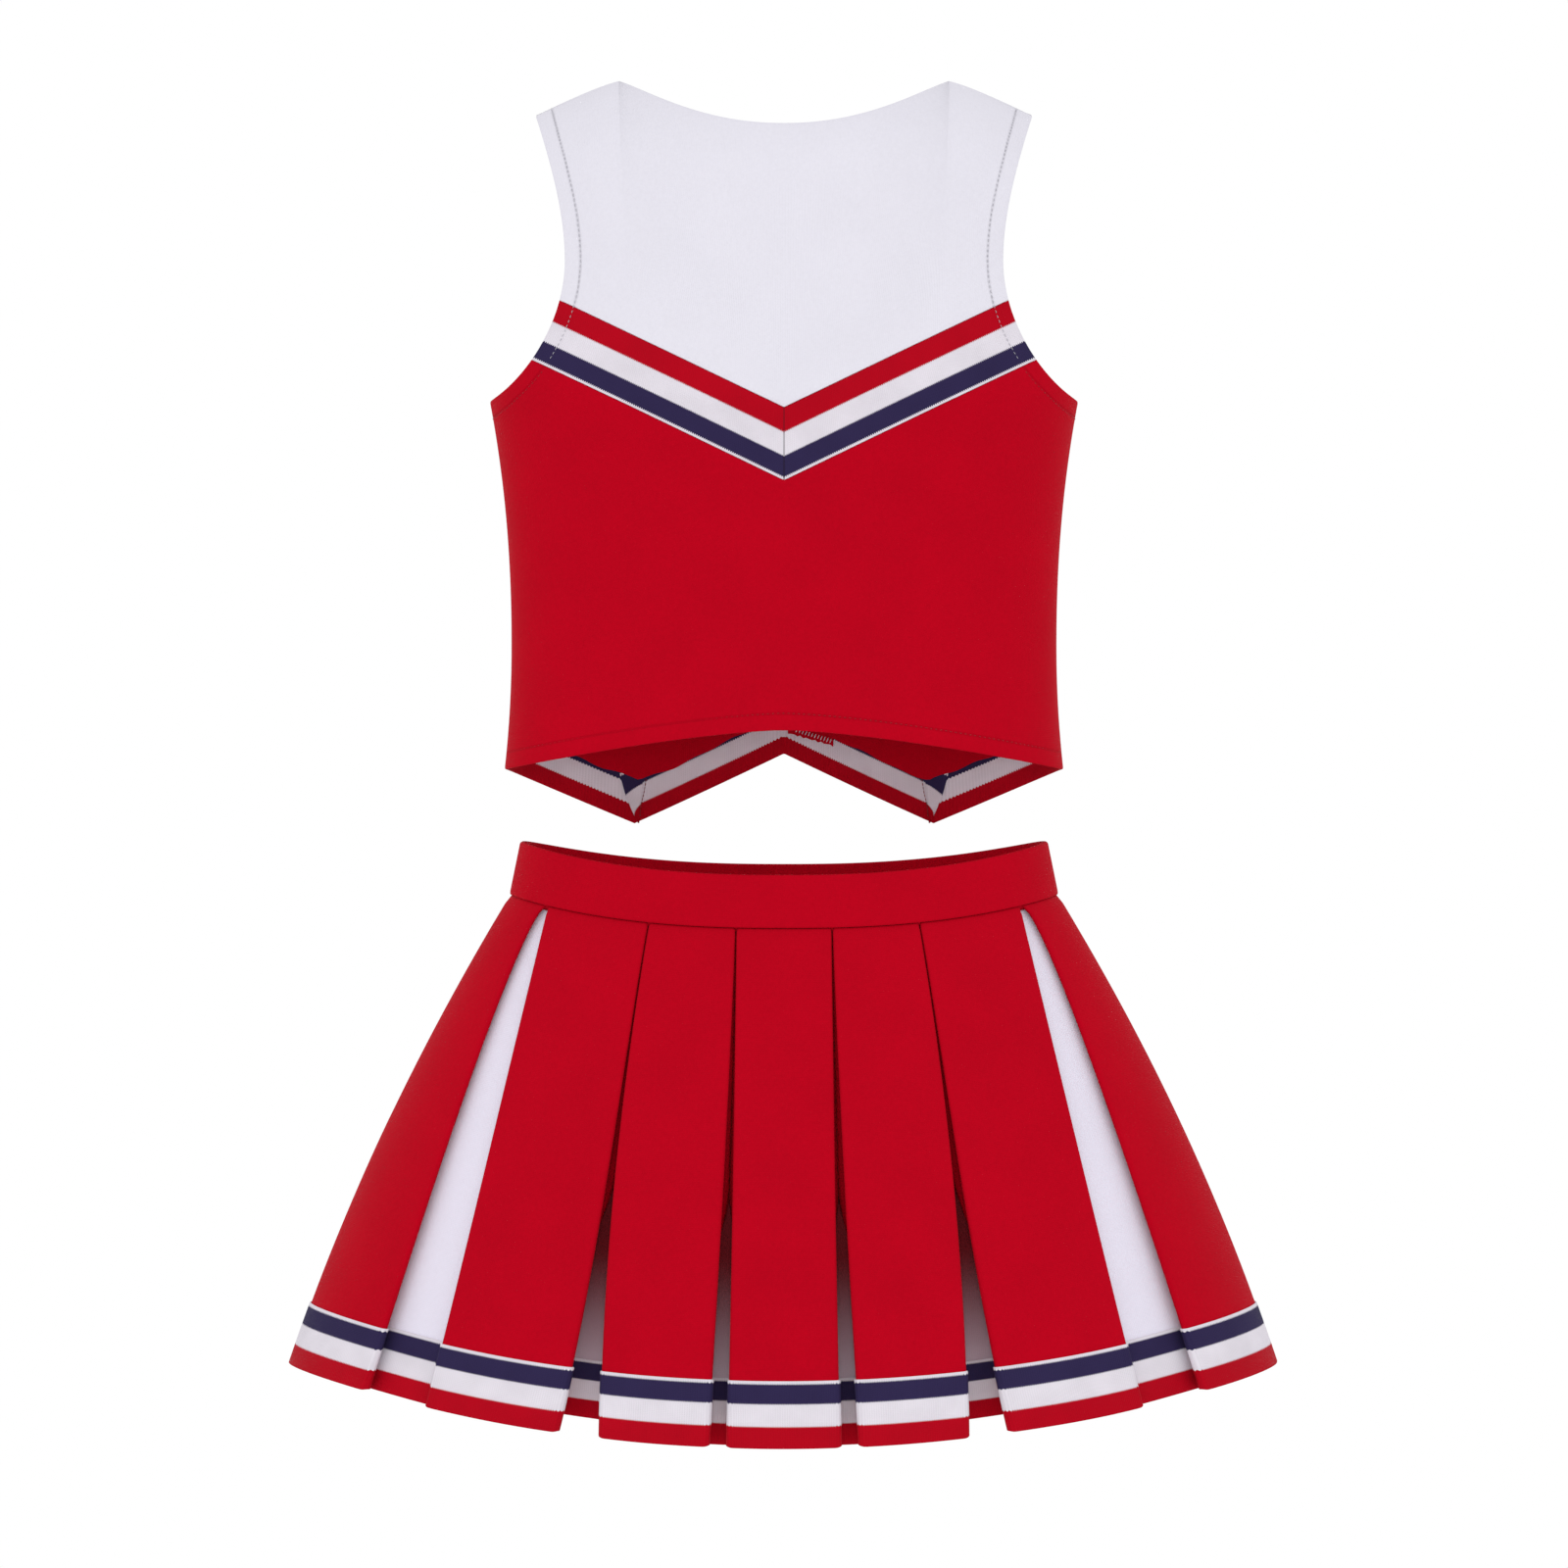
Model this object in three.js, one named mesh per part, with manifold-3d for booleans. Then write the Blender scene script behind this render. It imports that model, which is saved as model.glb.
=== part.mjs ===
// A two-piece cheer uniform, standing open as it does when it is worn: a sleeveless shell top with a
// chevron of striped braid and a zigzag front hem, and a skirt of box pleats with contrast inserts.
// Units are millimetres and +Z is up. The garments' backs face -Y and the wearer's right is +X.
// The origin is under the middle of the uniform, level with the lowest point of the skirt's hem.
import * as THREE from "three";
import Module from "manifold-3d";
import { mergeVertices } from "three/addons/utils/BufferGeometryUtils.js";

// Plies and seams
const cloth = 1.5; // double-knit shell cloth
const thinCloth = 0.8; // facings, linings, label and zip tape
const insertCloth = 1.2; // cloth of the pleat inserts
const braidCloth = 1.0; // braid sewn on the skirt's hem
const seamGap = 0.4; // between two pieces that meet edge to edge
const plyGap = 0.4; // between two plies that lie face to face
const facingGap = 2.1; // from the shell cloth's inner face to a facing or the label
const foldGap = 0.8; // from a panel's inner face to the returns of a pleat
const braidWidth = 33; // striped braid, edge to edge

// Skirt
const skirtDrop = 257.5; // waistband seam to hem at the middle
const hemSideRise = 35.7; // how much higher the hem is at the sides
const bandHeight = 27;
const bandSideRise = 14.4; // how much higher the waistband sits at the sides
const bandFrontRise = 4.6; // and in front
const bandTopHalf = 134; // half-width of the waistband's top edge
const bandTopDeep = 65; // half-depth of the same edge
const seamHalf = 139.5; // half-width at the waistband seam
const seamDeep = 68;
const hemHalf = 251; // half-width at the hem
const hemDeep = 155;
const skirtBow = 0.297; // how much the skirt's side line bows outwards
const seamRound = 2.4; // section exponents: 2 is an ellipse, more is squarer
const hemRound = 2;

// Box pleats: where each gap starts at the waistband seam, where it starts at the hem, how wide it is
// at the hem, and how its width grows on the way down. One quarter of the skirt; the rest mirrors it.
const pleatGaps = [
  { seam: 24, hem: 28.2, width: 9.8, growth: 1 },
  { seam: 68.2, hem: 92.2, width: 21.1, growth: 2.7 },
  { seam: 120, hem: 179.8, width: 31.4, growth: 0.55 },
];
const gapAtSeam = 0.6; // width of a closed pleat's gap under the waistband
const foldDeepSeam = 4.8; // depth of a pleat's floor behind the panels
const foldDeepHem = 15;
const underlaySeam = 5; // how far a pleat's floor runs on behind each panel
const underlayHem = 12;
const foldTuck = 1; // the insert's edge stays this far inside the panel's fold

// Shell top, measured up from its hem at the side seams
const garmentGap = 36.5; // clear height between the waistband and the top's hem at the sides
const waistRise = 62.5;
const underarmRise = 187.5;
const neckRise = 351; // where the shoulder seam meets the neck
const topHemHalf = 142.5;
const waistHalf = 139;
const chestHalf = 150;
const topHemDeep = 66;
const waistDeep = 64;
const chestDeep = 75;
const torsoRound = 2.5;
const waistToHemCurve = 2;
const waistToChestCurve = 2.15;
const neckHalf = 84;
const shoulderHalf = 126.5;
const shoulderDrop = 18.5; // fall of the shoulder seam from neck to tip
const shoulderRoll = 55; // height over which the cloth rolls over the shoulder
const backNeckDrop = 26.6;
const frontNeckDrop = 56;
const backNeckCurve = 2.1;
const frontNeckCurve = 2.4;
const armholeHalf = 111; // half-width across the back where the armholes are closest
const armholeRise = 257;
const underarmReach = 0.56; // how far out the armhole's edge stays level from the underarm, as a share
const underarmLift = 8; // how the edge's two curves leave their ends
const armholeHoldBelow = 32;
const armholeHoldAbove = 25;
const shoulderReach = 0.5;
const backHemRise = 19.7; // arch of the back hem
const backHemCurve = 1.45;
const frontHemCentreRise = 8.2;
const frontHemPointDrop = 27.7;
const frontHemPointX = 75.2;
const frontBraidHeight = 36; // upright height of the braid along the zigzag hem
const chevronRise = 145.6; // lowest point of the chevron
const chevronSlope = 0.4816;
const facingWidth = 10;
const neckFacingWidth = 12;
const labelWidth = 21;
const labelHeight = 23;

// Side zips, in the left side seams
const zipLength = 100;
const zipSlot = 8; // the cloth's edges stand this far apart over the zip
const zipTaperLength = 18; // length over which a slot closes past the zip's end
const topZipRise = 46; // the top zip's lower end above the hem
const skirtZipDrop = 10; // the skirt zip's upper end below the waistband seam
const zipSink = 3; // depth of the tape's face below the shell cloth's inner face
const tapeReach = 10; // tape edge from the zip's middle
const tapeCloth = 0.7;
const coilHalf = 2.2;
const coilGap = 0.5; // half the space between the two coils
const coilStand = 0.5; // how far a coil stands above its tape
const coilThick = 1.6;
const sliderHalf = 3.2;
const sliderLength = 9;
const sliderPlate = 1;
const sliderWeb = 0.2; // half-thickness of the blade between the coils
const sliderSpace = 0.4; // from a coil to the slider's plates
const bailHalf = 0.5;
const bailWall = 0.5;
const bailSpan = 2; // clear length under the slider's bail
const bailRoom = 1.7; // clear height under it
const pullLength = 16;
const pullHalf = 2.5;
const pullThick = 0.7;
const pullBar = 0.8; // the pull's end bar, which turns under the bail
const pullTopShare = 0.8; // width of its top end as a share of its width
const eyeHalf = 1.2;
const eyeLength = 1.9;
const stopLength = 2;
const stopPlate = 0.8;
const endMargin = 1; // from the zip's ends to the slider and the stop

// Waistband hook and bar
const hookSink = 2.9; // depth of the hook's face below the waistband cloth's inner face
const hookPlate = 0.8;
const hookWidth = 7;
const hookReach = 12;
const hookTongue = 6.2;
const barWindow = 9; // height of the bar's window
const barFrame = 1.6; // width of the bar's rod and arms
const barStart = 1;
const barReach = 13;
const barWindowEnd = 9;

// Grid fineness
const skirtRows = 8;
const panelColumns = 6;
const sidePanelColumns = 10;
const braidRows = 1;
const ringStations = 12;
const underarmCurve = 2.2; // crowds points towards the underarm, where the edge turns fastest

const colours = {
  red: { color: 0xb8031e, roughness: 0.85, metalness: 0 },
  yokeWhite: { color: 0xe3e1eb, roughness: 0.85, metalness: 0 },
  insertWhite: { color: 0xe1dcea, roughness: 0.85, metalness: 0 },
  braid: { color: 0xe9e6ee, roughness: 0.7, metalness: 0 },
  tape: { color: 0xa0031a, roughness: 0.8, metalness: 0 },
  metal: { color: 0xb9b9bd, roughness: 0.3, metalness: 1 },
};

const wasm = await Module();
wasm.setup();

const back = -1;
const front = 1;
const quarter = Math.PI / 2;
const lerp = THREE.MathUtils.lerp;
const steps = (count) => Array.from({ length: count + 1 }, (_, index) => index / count);
const uniform = new THREE.Group();

// ---------------------------------------------------------------------------------------- solids

// A closed body from shared points and triangles, turned so that its faces point out.
function closedBody(points, faces) {
  let volume = 0;
  for (let i = 0; i < faces.length; i += 3) {
    const [a, b, c] = [points[faces[i]], points[faces[i + 1]], points[faces[i + 2]]];
    volume += a.dot(b.clone().cross(c));
  }
  if (volume < 0) faces.reverse();
  const geometry = new THREE.BufferGeometry().setFromPoints(points);
  geometry.setIndex(faces);
  return geometry;
}

// A ply of cloth between two matching grids of points, grid[row][column].
function plyBetween(outer, inner) {
  const rows = outer.length - 1;
  const columns = outer[0].length - 1;
  const points = [...outer.flat(), ...inner.flat()];
  const behind = (rows + 1) * (columns + 1);
  const at = (row, column) => row * (columns + 1) + column;
  const faces = [];
  const quad = (a, b, c, d) => faces.push(a, b, c, a, c, d);
  for (let r = 0; r < rows; r += 1) {
    for (let c = 0; c < columns; c += 1) {
      const corners = [at(r, c), at(r, c + 1), at(r + 1, c + 1), at(r + 1, c)];
      quad(...corners);
      quad(...corners.map((corner) => corner + behind).reverse());
    }
  }
  const rim = [];
  for (let c = 0; c < columns; c += 1) rim.push(at(0, c));
  for (let r = 0; r < rows; r += 1) rim.push(at(r, columns));
  for (let c = columns; c > 0; c -= 1) rim.push(at(rows, c));
  for (let r = rows; r > 0; r -= 1) rim.push(at(r, 0));
  rim.forEach((from, index) => {
    const to = rim[(index + 1) % rim.length];
    quad(to, from, from + behind, to + behind);
  });
  return closedBody(points, faces);
}

// A ply over the unit square: place(across, up, inward) gives its points.
function ply(place, columns, rows, thickness, inward = 0) {
  const grid = (depth) => steps(rows).map((up) => steps(columns).map((across) => place(across, up, depth)));
  return plyBetween(grid(inward), grid(inward + thickness));
}

// A ring whose stations are closed sections of equally many points.
function ring(stations) {
  const size = stations[0].length;
  const faces = [];
  stations.forEach((_, s) => {
    const next = (s + 1) % stations.length;
    for (let k = 0; k < size; k += 1) {
      const beside = (k + 1) % size;
      const corners = [s * size + k, next * size + k, next * size + beside, s * size + beside];
      faces.push(corners[0], corners[1], corners[2], corners[0], corners[2], corners[3]);
    }
  });
  return closedBody(stations.flat(), faces);
}

// A straight bar whose section is drawn as [outward, sideways] points and whose length runs up.
function bar(section, from, length) {
  const shape = new THREE.Shape(section.map(([outward, sideways]) => new THREE.Vector2(outward, sideways)));
  const geometry = new THREE.ExtrudeGeometry(shape, { depth: length, bevelEnabled: false });
  return geometry.translate(0, 0, from);
}

function block(lowOut, highOut, halfSide, from, length) {
  const section = [[lowOut, -halfSide], [highOut, -halfSide], [highOut, halfSide], [lowOut, halfSide]];
  return bar(section, from, length);
}

function asSolid(geometry) {
  const bare = geometry.clone();
  bare.deleteAttribute("normal");
  bare.deleteAttribute("uv");
  const merged = mergeVertices(bare);
  const vertProperties = new Float32Array(merged.attributes.position.array);
  const triVerts = new Uint32Array(merged.index.array);
  return new wasm.Manifold(new wasm.Mesh({ numProp: 3, vertProperties, triVerts }));
}

function joined(geometries) {
  const [first, ...others] = geometries.map(asSolid);
  const mesh = others.reduce((sum, next) => sum.add(next), first).getMesh();
  const geometry = new THREE.BufferGeometry();
  geometry.setAttribute("position", new THREE.BufferAttribute(new Float32Array(mesh.vertProperties), 3));
  geometry.setIndex(new THREE.BufferAttribute(new Uint32Array(mesh.triVerts), 1));
  return geometry;
}

function mirrored(geometry) {
  const copy = geometry.clone();
  copy.scale(-1, 1, 1);
  const faces = Array.from(copy.index.array).reverse();
  copy.setIndex(faces);
  return copy;
}

function addPiece(name, geometry, colour, parent = uniform) {
  const mesh = new THREE.Mesh(geometry, new THREE.MeshStandardMaterial(colours[colour]));
  mesh.name = name;
  parent.add(mesh);
}

// ------------------------------------------------------------------------------------- surfaces

const signedPower = (value, power) => Math.sign(value) * Math.abs(value) ** power;

// A point of a rounded section. The angle is 0 at the middle back and a quarter turn at the right side.
function sectionPoint(angle, half, deep, round, z) {
  const x = half * signedPower(Math.sin(angle), 2 / round);
  const y = -deep * signedPower(Math.cos(angle), 2 / round);
  return new THREE.Vector3(x, y, z);
}

// Angle from the middle back, or from the middle front, at which a section reaches x.
function angleAcross(x, half, round) {
  const share = Math.min(1, Math.abs(x) / half);
  return Math.sign(x) * Math.asin(share ** (round / 2));
}

// Angle that leaves a gap, measured in y, short of the side of a section.
const angleShortOfSide = (gap, deep, round) => Math.asin((gap / deep) ** (round / 2));

// A point sunk below surface(u, v), where u runs anticlockwise from above and v runs up. A level one
// is sunk sideways only, which keeps its height.
function sunk(surface, u, v, inward, level = false) {
  const step = 1e-3;
  const along = surface(u + step, v).sub(surface(u - step, v));
  const up = surface(u, v + step).sub(surface(u, v - step));
  const normal = along.cross(up);
  if (level) normal.z = 0;
  return surface(u, v).addScaledVector(normal.normalize(), -inward);
}

// ---------------------------------------------------------------------------------------- skirt

const seamLevel = (angle) => {
  const sideLift = bandSideRise * Math.sin(angle) ** 2;
  const frontLift = (bandFrontRise * (1 - Math.cos(angle))) / 2;
  return skirtDrop + sideLift + frontLift;
};
const hemLevel = (angle) => hemSideRise * Math.sin(angle) ** 2;
const spread = (drop) => (1 + skirtBow) * drop - skirtBow * drop ** 2;
const skirtHalf = (drop) => lerp(seamHalf, hemHalf, spread(drop));
const skirtDeep = (drop) => lerp(seamDeep, hemDeep, spread(drop));
const skirtRound = (drop) => lerp(seamRound, hemRound, drop);

// The skirt's surface; rise is 0 at the hem and 1 at the waistband seam.
function skirtSurface(angle, rise) {
  const drop = 1 - rise;
  const z = lerp(hemLevel(angle), seamLevel(angle), rise);
  return sectionPoint(angle, skirtHalf(drop), skirtDeep(drop), skirtRound(drop), z);
}

const onSkirt = (angle, rise, inward) => sunk(skirtSurface, angle, rise, inward, true);

// The angle reached from another by going some distance round the skirt.
function alongSkirt(angle, rise, distance) {
  const step = 1e-3;
  const rate = skirtSurface(angle + step, rise).distanceTo(skirtSurface(angle - step, rise)) / (2 * step);
  return angle + distance / rate;
}

// Both edges of a pleat's gap in the back right quarter, as angles at a level.
function gapEdges(gap, rise) {
  const drop = 1 - rise;
  const start = lerp(gap.seam, gap.hem, drop);
  const end = start + gapAtSeam + (gap.width - gapAtSeam) * drop ** gap.growth;
  return [start, end].map((x) => angleAcross(x, skirtHalf(drop), skirtRound(drop)));
}

// Half the opening in the left side seam of the skirt: wide over the zip and closed below it.
const sideLineLength = skirtDrop + bandSideRise + bandFrontRise / 2 - hemSideRise;
const skirtZipTop = skirtDrop + bandSideRise + bandFrontRise / 2 - skirtZipDrop;
function skirtSlotHalf(z) {
  const below = skirtZipTop - zipLength - z;
  const shut = THREE.MathUtils.smoothstep(below, 0, zipTaperLength);
  return lerp(zipSlot, seamGap, shut) / 2;
}

// The side seams' edges as angles short of the side, right side first.
function sideGapAngle(side, rise) {
  const drop = 1 - rise;
  const level = lerp(hemSideRise, seamLevel(quarter), rise);
  const half = side > 0 ? seamGap / 2 : skirtSlotHalf(level);
  return angleShortOfSide(half, skirtDeep(drop), skirtRound(drop));
}

// Every gap round the skirt, anticlockwise from the middle back, as functions of the level.
const gapsRound = [];
const quarterGap = (gap, turn) => ({
  edges: (rise) => gapEdges(gap, rise).map(turn).sort((a, b) => a - b),
});
const seamAt = (side) => ({
  seam: true,
  edges: (rise) => {
    const middle = side > 0 ? quarter : 3 * quarter;
    const offset = sideGapAngle(side, rise);
    return [middle - offset, middle + offset];
  },
});
for (const gap of pleatGaps) gapsRound.push(quarterGap(gap, (angle) => angle));
gapsRound.push(seamAt(1));
for (const gap of [...pleatGaps].reverse()) gapsRound.push(quarterGap(gap, (angle) => Math.PI - angle));
for (const gap of pleatGaps) gapsRound.push(quarterGap(gap, (angle) => Math.PI + angle));
gapsRound.push(seamAt(-1));
for (const gap of [...pleatGaps].reverse()) gapsRound.push(quarterGap(gap, (angle) => 4 * quarter - angle));

const panelTopRise = 1 - seamGap / skirtDrop;

// Panels lie between one gap and the next; the first one is at the middle back.
const panelsRound = gapsRound.map((gap, index) => {
  const before = gapsRound[(index + gapsRound.length - 1) % gapsRound.length];
  const turn = index === 0 ? 4 * quarter : 0;
  return {
    besideSeam: Boolean(gap.seam || before.seam),
    edges: (rise) => [before.edges(rise)[1] - turn, gap.edges(rise)[0]],
  };
});

function addSkirtPanels() {
  panelsRound.forEach((panel, index) => {
    const place = (across, up, inward) => {
      const rise = up * panelTopRise;
      const [from, to] = panel.edges(rise);
      return onSkirt(lerp(from, to, across), rise, inward);
    };
    const columns = panel.besideSeam ? sidePanelColumns : panelColumns;
    const name = `skirt_panel_${String(index + 1).padStart(2, "0")}`;
    addPiece(name, ply(place, columns, skirtRows, cloth), "red");
  });
}

const foldDepth = (rise) => lerp(foldDeepHem, foldDeepSeam, rise);
const underlay = (rise) => lerp(underlayHem, underlaySeam, rise);

// An insert is folded like a letter C behind its gap: two returns under the panels and a floor.
function addPleatInserts() {
  const pleats = gapsRound.filter((gap) => !gap.seam);
  const returnBack = cloth + foldGap;
  const section = (gap, rise, thick) => {
    const [from, to] = gap.edges(rise);
    const reach = underlay(rise) + thick;
    const returnDepth = returnBack + insertCloth - thick;
    const floorDepth = foldDepth(rise) + thick;
    const place = (edge, sideways, depth) => onSkirt(alongSkirt(edge, rise, sideways), rise, depth);
    const floorMiddle = (from + to) / 2;
    return [
      place(from, -foldTuck, returnDepth),
      place(from, -reach, returnDepth),
      place(from, -reach, floorDepth),
      onSkirt(floorMiddle, rise, floorDepth),
      place(to, reach, floorDepth),
      place(to, reach, returnDepth),
      place(to, foldTuck, returnDepth),
    ];
  };
  pleats.forEach((gap, index) => {
    const grid = (thick) => steps(skirtRows).map((up) => section(gap, up * panelTopRise, thick));
    const name = `skirt_insert_${String(index + 1).padStart(2, "0")}`;
    addPiece(name, plyBetween(grid(0), grid(insertCloth)), "insertWhite");
  });
}

// The hem braid is sewn over panels and inserts and follows every fold, in a back and a front length.
function addHemBraid() {
  const hemMargin = 0.002;
  const topRise = braidWidth / skirtDrop;
  const count = gapsRound.length;
  const section = (first, last, rise, thick) => {
    const points = [];
    const depth = -(plyGap + thick);
    const inset = plyGap + thick;
    for (let i = first; i <= last; i += 1) {
      const panel = panelsRound[i % count];
      const turn = i >= count ? 4 * quarter : 0;
      const [from, to] = panel.edges(rise).map((angle) => angle + turn);
      const startsAtSeam = gapsRound[(i + count - 1) % count].seam;
      const endsAtSeam = gapsRound[i % count].seam;
      const start = startsAtSeam ? from : alongSkirt(from, rise, -inset);
      const end = endsAtSeam ? to : alongSkirt(to, rise, inset);
      const columns = panel.besideSeam ? sidePanelColumns : panelColumns;
      if (!startsAtSeam) points.push(onSkirt(start, rise, foldDepth(rise) - inset));
      for (const across of steps(columns)) points.push(onSkirt(lerp(start, end, across), rise, depth));
      if (!endsAtSeam) {
        const [gapStart, gapEnd] = gapsRound[i % count].edges(rise).map((angle) => angle + turn);
        points.push(onSkirt(end, rise, foldDepth(rise) - inset));
        if (i < last) points.push(onSkirt((gapStart + gapEnd) / 2, rise, foldDepth(rise) - inset));
      }
    }
    return points;
  };
  const lengths = { front: [4, 10], back: [11, 17] };
  for (const [name, [first, last]] of Object.entries(lengths)) {
    const grid = (thick) =>
      steps(braidRows).map((up) => section(first, last, lerp(hemMargin, topRise, up), thick));
    addPiece(`skirt_hem_braid_${name}`, plyBetween(grid(braidCloth), grid(0)), "braid");
  }
}

// ------------------------------------------------------------------------------------ waistband

// The waistband's surface; rise is 0 at its seam and 1 at its top edge.
function bandSurface(angle, rise) {
  const half = lerp(seamHalf, bandTopHalf, rise);
  const deep = lerp(seamDeep, bandTopDeep, rise);
  return sectionPoint(angle, half, deep, seamRound, seamLevel(angle) + rise * bandHeight);
}

function addWaistband() {
  const columns = 20;
  const rows = 2;
  const liningMargin = 2 / bandHeight;
  const seamRise = seamGap / bandHeight;
  const shortOf = angleShortOfSide(seamGap / 2, bandTopDeep, seamRound);
  const halves = { back: -quarter, front: quarter };
  for (const [name, start] of Object.entries(halves)) {
    const angle = (across) => lerp(start + shortOf, start + 2 * quarter - shortOf, across);
    const band = (across, up, inward) => sunk(bandSurface, angle(across), lerp(seamRise, 1, up), inward);
    const lining = (across, up, inward) =>
      sunk(bandSurface, angle(across), lerp(liningMargin, 1 - liningMargin, up), inward);
    addPiece(`skirt_waistband_${name}`, ply(band, columns, rows, cloth), "red");
    const liningSolid = ply(lining, columns, 1, thinCloth, cloth + plyGap);
    addPiece(`skirt_band_lining_${name}`, liningSolid, "red");
  }
}

// ------------------------------------------------------------------------------------ shell top

const bandTopSide = seamLevel(quarter) + bandHeight;
const topHemZ = bandTopSide + garmentGap;
const waistZ = topHemZ + waistRise;
const underarmZ = topHemZ + underarmRise;
const neckZ = topHemZ + neckRise;
const shoulderSlope = shoulderDrop / (shoulderHalf - neckHalf);
const neckBlend = 10; // length over which the shoulder line eases into the neck
const braidRiseOnSlope = braidWidth * Math.hypot(1, chevronSlope);
const chevronZ = topHemZ + chevronRise;

function torsoSize(z, hemSize, waistSize, chestSize) {
  if (z < waistZ) return lerp(waistSize, hemSize, ((waistZ - z) / waistRise) ** waistToHemCurve);
  const rise = Math.min(1, (z - waistZ) / (underarmRise - waistRise));
  return lerp(waistSize, chestSize, rise ** waistToChestCurve);
}
const torsoHalf = (z) => torsoSize(z, topHemHalf, waistHalf, chestHalf);
const torsoDeep = (z) => torsoSize(z, topHemDeep, waistDeep, chestDeep);
const torsoSurface = (angle, z) => sectionPoint(angle, torsoHalf(z), torsoDeep(z), torsoRound, z);
const onTorso = (angle, z, inward) => sunk(torsoSurface, angle, z, inward);
const torsoAngle = (x, z) => angleAcross(x, torsoHalf(z), torsoRound);
// An angle counted from the middle of the back or front, towards the wearer's right.
const faceAngle = (face, angle) => (face === back ? angle : Math.PI - angle);

// Level of the shoulder line above x, and the chart that rolls over it: turn is 0 on the shoulder seam.
function shoulderLevel(x) {
  const past = Math.abs(x) - neckHalf;
  return neckZ + (shoulderSlope * (neckBlend - past - Math.hypot(past, neckBlend))) / 2;
}
const rollDrop = (turn) =>
  turn < quarter ? shoulderRoll * (1 - Math.cos(turn)) : shoulderRoll * (1 + turn - quarter);
function rollTurn(x, z) {
  const drop = Math.max(0, shoulderLevel(x) - z) / shoulderRoll;
  return drop < 1 ? Math.acos(1 - drop) : quarter + drop - 1;
}
function yokeSurface(face) {
  return (x, turn) => {
    const z = shoulderLevel(x) - rollDrop(Math.abs(turn));
    const room = (1 - (Math.abs(x) / chestHalf) ** torsoRound) ** (1 / torsoRound);
    const rolled = Math.sign(turn) * Math.sin(Math.min(Math.abs(turn), quarter));
    return new THREE.Vector3(x, face * torsoDeep(z) * room * rolled, z);
  };
}
const onYoke = (face, x, turn, inward) => {
  const surface = yokeSurface(face);
  const upward = (u, v) => surface(face * -u, -v);
  return sunk(upward, -face * x, -turn, inward);
};

// The armhole's edge seen from behind: a lower and an upper curve that meet at the narrowest place.
const armholeLower = new THREE.CubicBezierCurve(
  new THREE.Vector2(chestHalf, underarmZ),
  new THREE.Vector2(lerp(armholeHalf, chestHalf, underarmReach), underarmZ + underarmLift),
  new THREE.Vector2(armholeHalf, topHemZ + armholeRise - armholeHoldBelow),
  new THREE.Vector2(armholeHalf, topHemZ + armholeRise),
);
const armholeUpper = new THREE.CubicBezierCurve(
  new THREE.Vector2(armholeHalf, topHemZ + armholeRise),
  new THREE.Vector2(armholeHalf, topHemZ + armholeRise + armholeHoldAbove),
  new THREE.Vector2(
    lerp(armholeHalf, shoulderHalf, shoulderReach),
    neckZ - shoulderDrop - armholeHoldAbove,
  ),
  new THREE.Vector2(shoulderHalf, neckZ - shoulderDrop),
);

// Where the lower armhole curve crosses a line that climbs outwards at the chevron's slope.
function armholeCrossing(lineZ) {
  let low = 0;
  let high = 1;
  for (let i = 0; i < 40; i += 1) {
    const middle = (low + high) / 2;
    const point = armholeLower.getPoint(middle);
    if (point.y < lineZ + chevronSlope * point.x) low = middle;
    else high = middle;
  }
  return low;
}

// The armhole's edge from some way up its lower curve to the shoulder tip, in the yoke's chart: the
// share goes evenly with the turn over the shoulder.
function armholeClimb(start) {
  const lowerShare = 0.4;
  const pointAt = (share) => {
    const lower = share < lowerShare;
    const point = lower
      ? armholeLower.getPoint(lerp(start, 1, share / lowerShare))
      : armholeUpper.getPoint((share - lowerShare) / (1 - lowerShare));
    return [point.x, rollTurn(point.x, point.y)];
  };
  const firstTurn = pointAt(0)[1];
  return (share) => {
    if (share === 1) return [shoulderHalf, 0];
    let low = 0;
    let high = 1;
    for (let i = 0; i < 40; i += 1) {
      const middle = (low + high) / 2;
      if (pointAt(middle)[1] > firstTurn * (1 - share)) low = middle;
      else high = middle;
    }
    return pointAt(low);
  };
}

// A patch that fills four boundary curves, each giving a 2-D chart point: straight lines run from the
// bottom to the top curve, and bend near the sides to follow the side curves.
const sideBend = 4;
function patch(bottom, top, left, right) {
  return (u, v) => {
    const side = u < 0.5 ? 0 : 1;
    const edge = side === 0 ? left(v) : right(v);
    const weight = Math.abs(2 * u - 1) ** sideBend;
    return [0, 1].map((k) => {
      const bend = edge[k] - lerp(bottom(side)[k], top(side)[k], v);
      return lerp(bottom(u)[k], top(u)[k], v) + weight * bend;
    });
  };
}

const shoulderColumns = 3;
const neckColumns = 16;
const yokeRows = 12;

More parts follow.
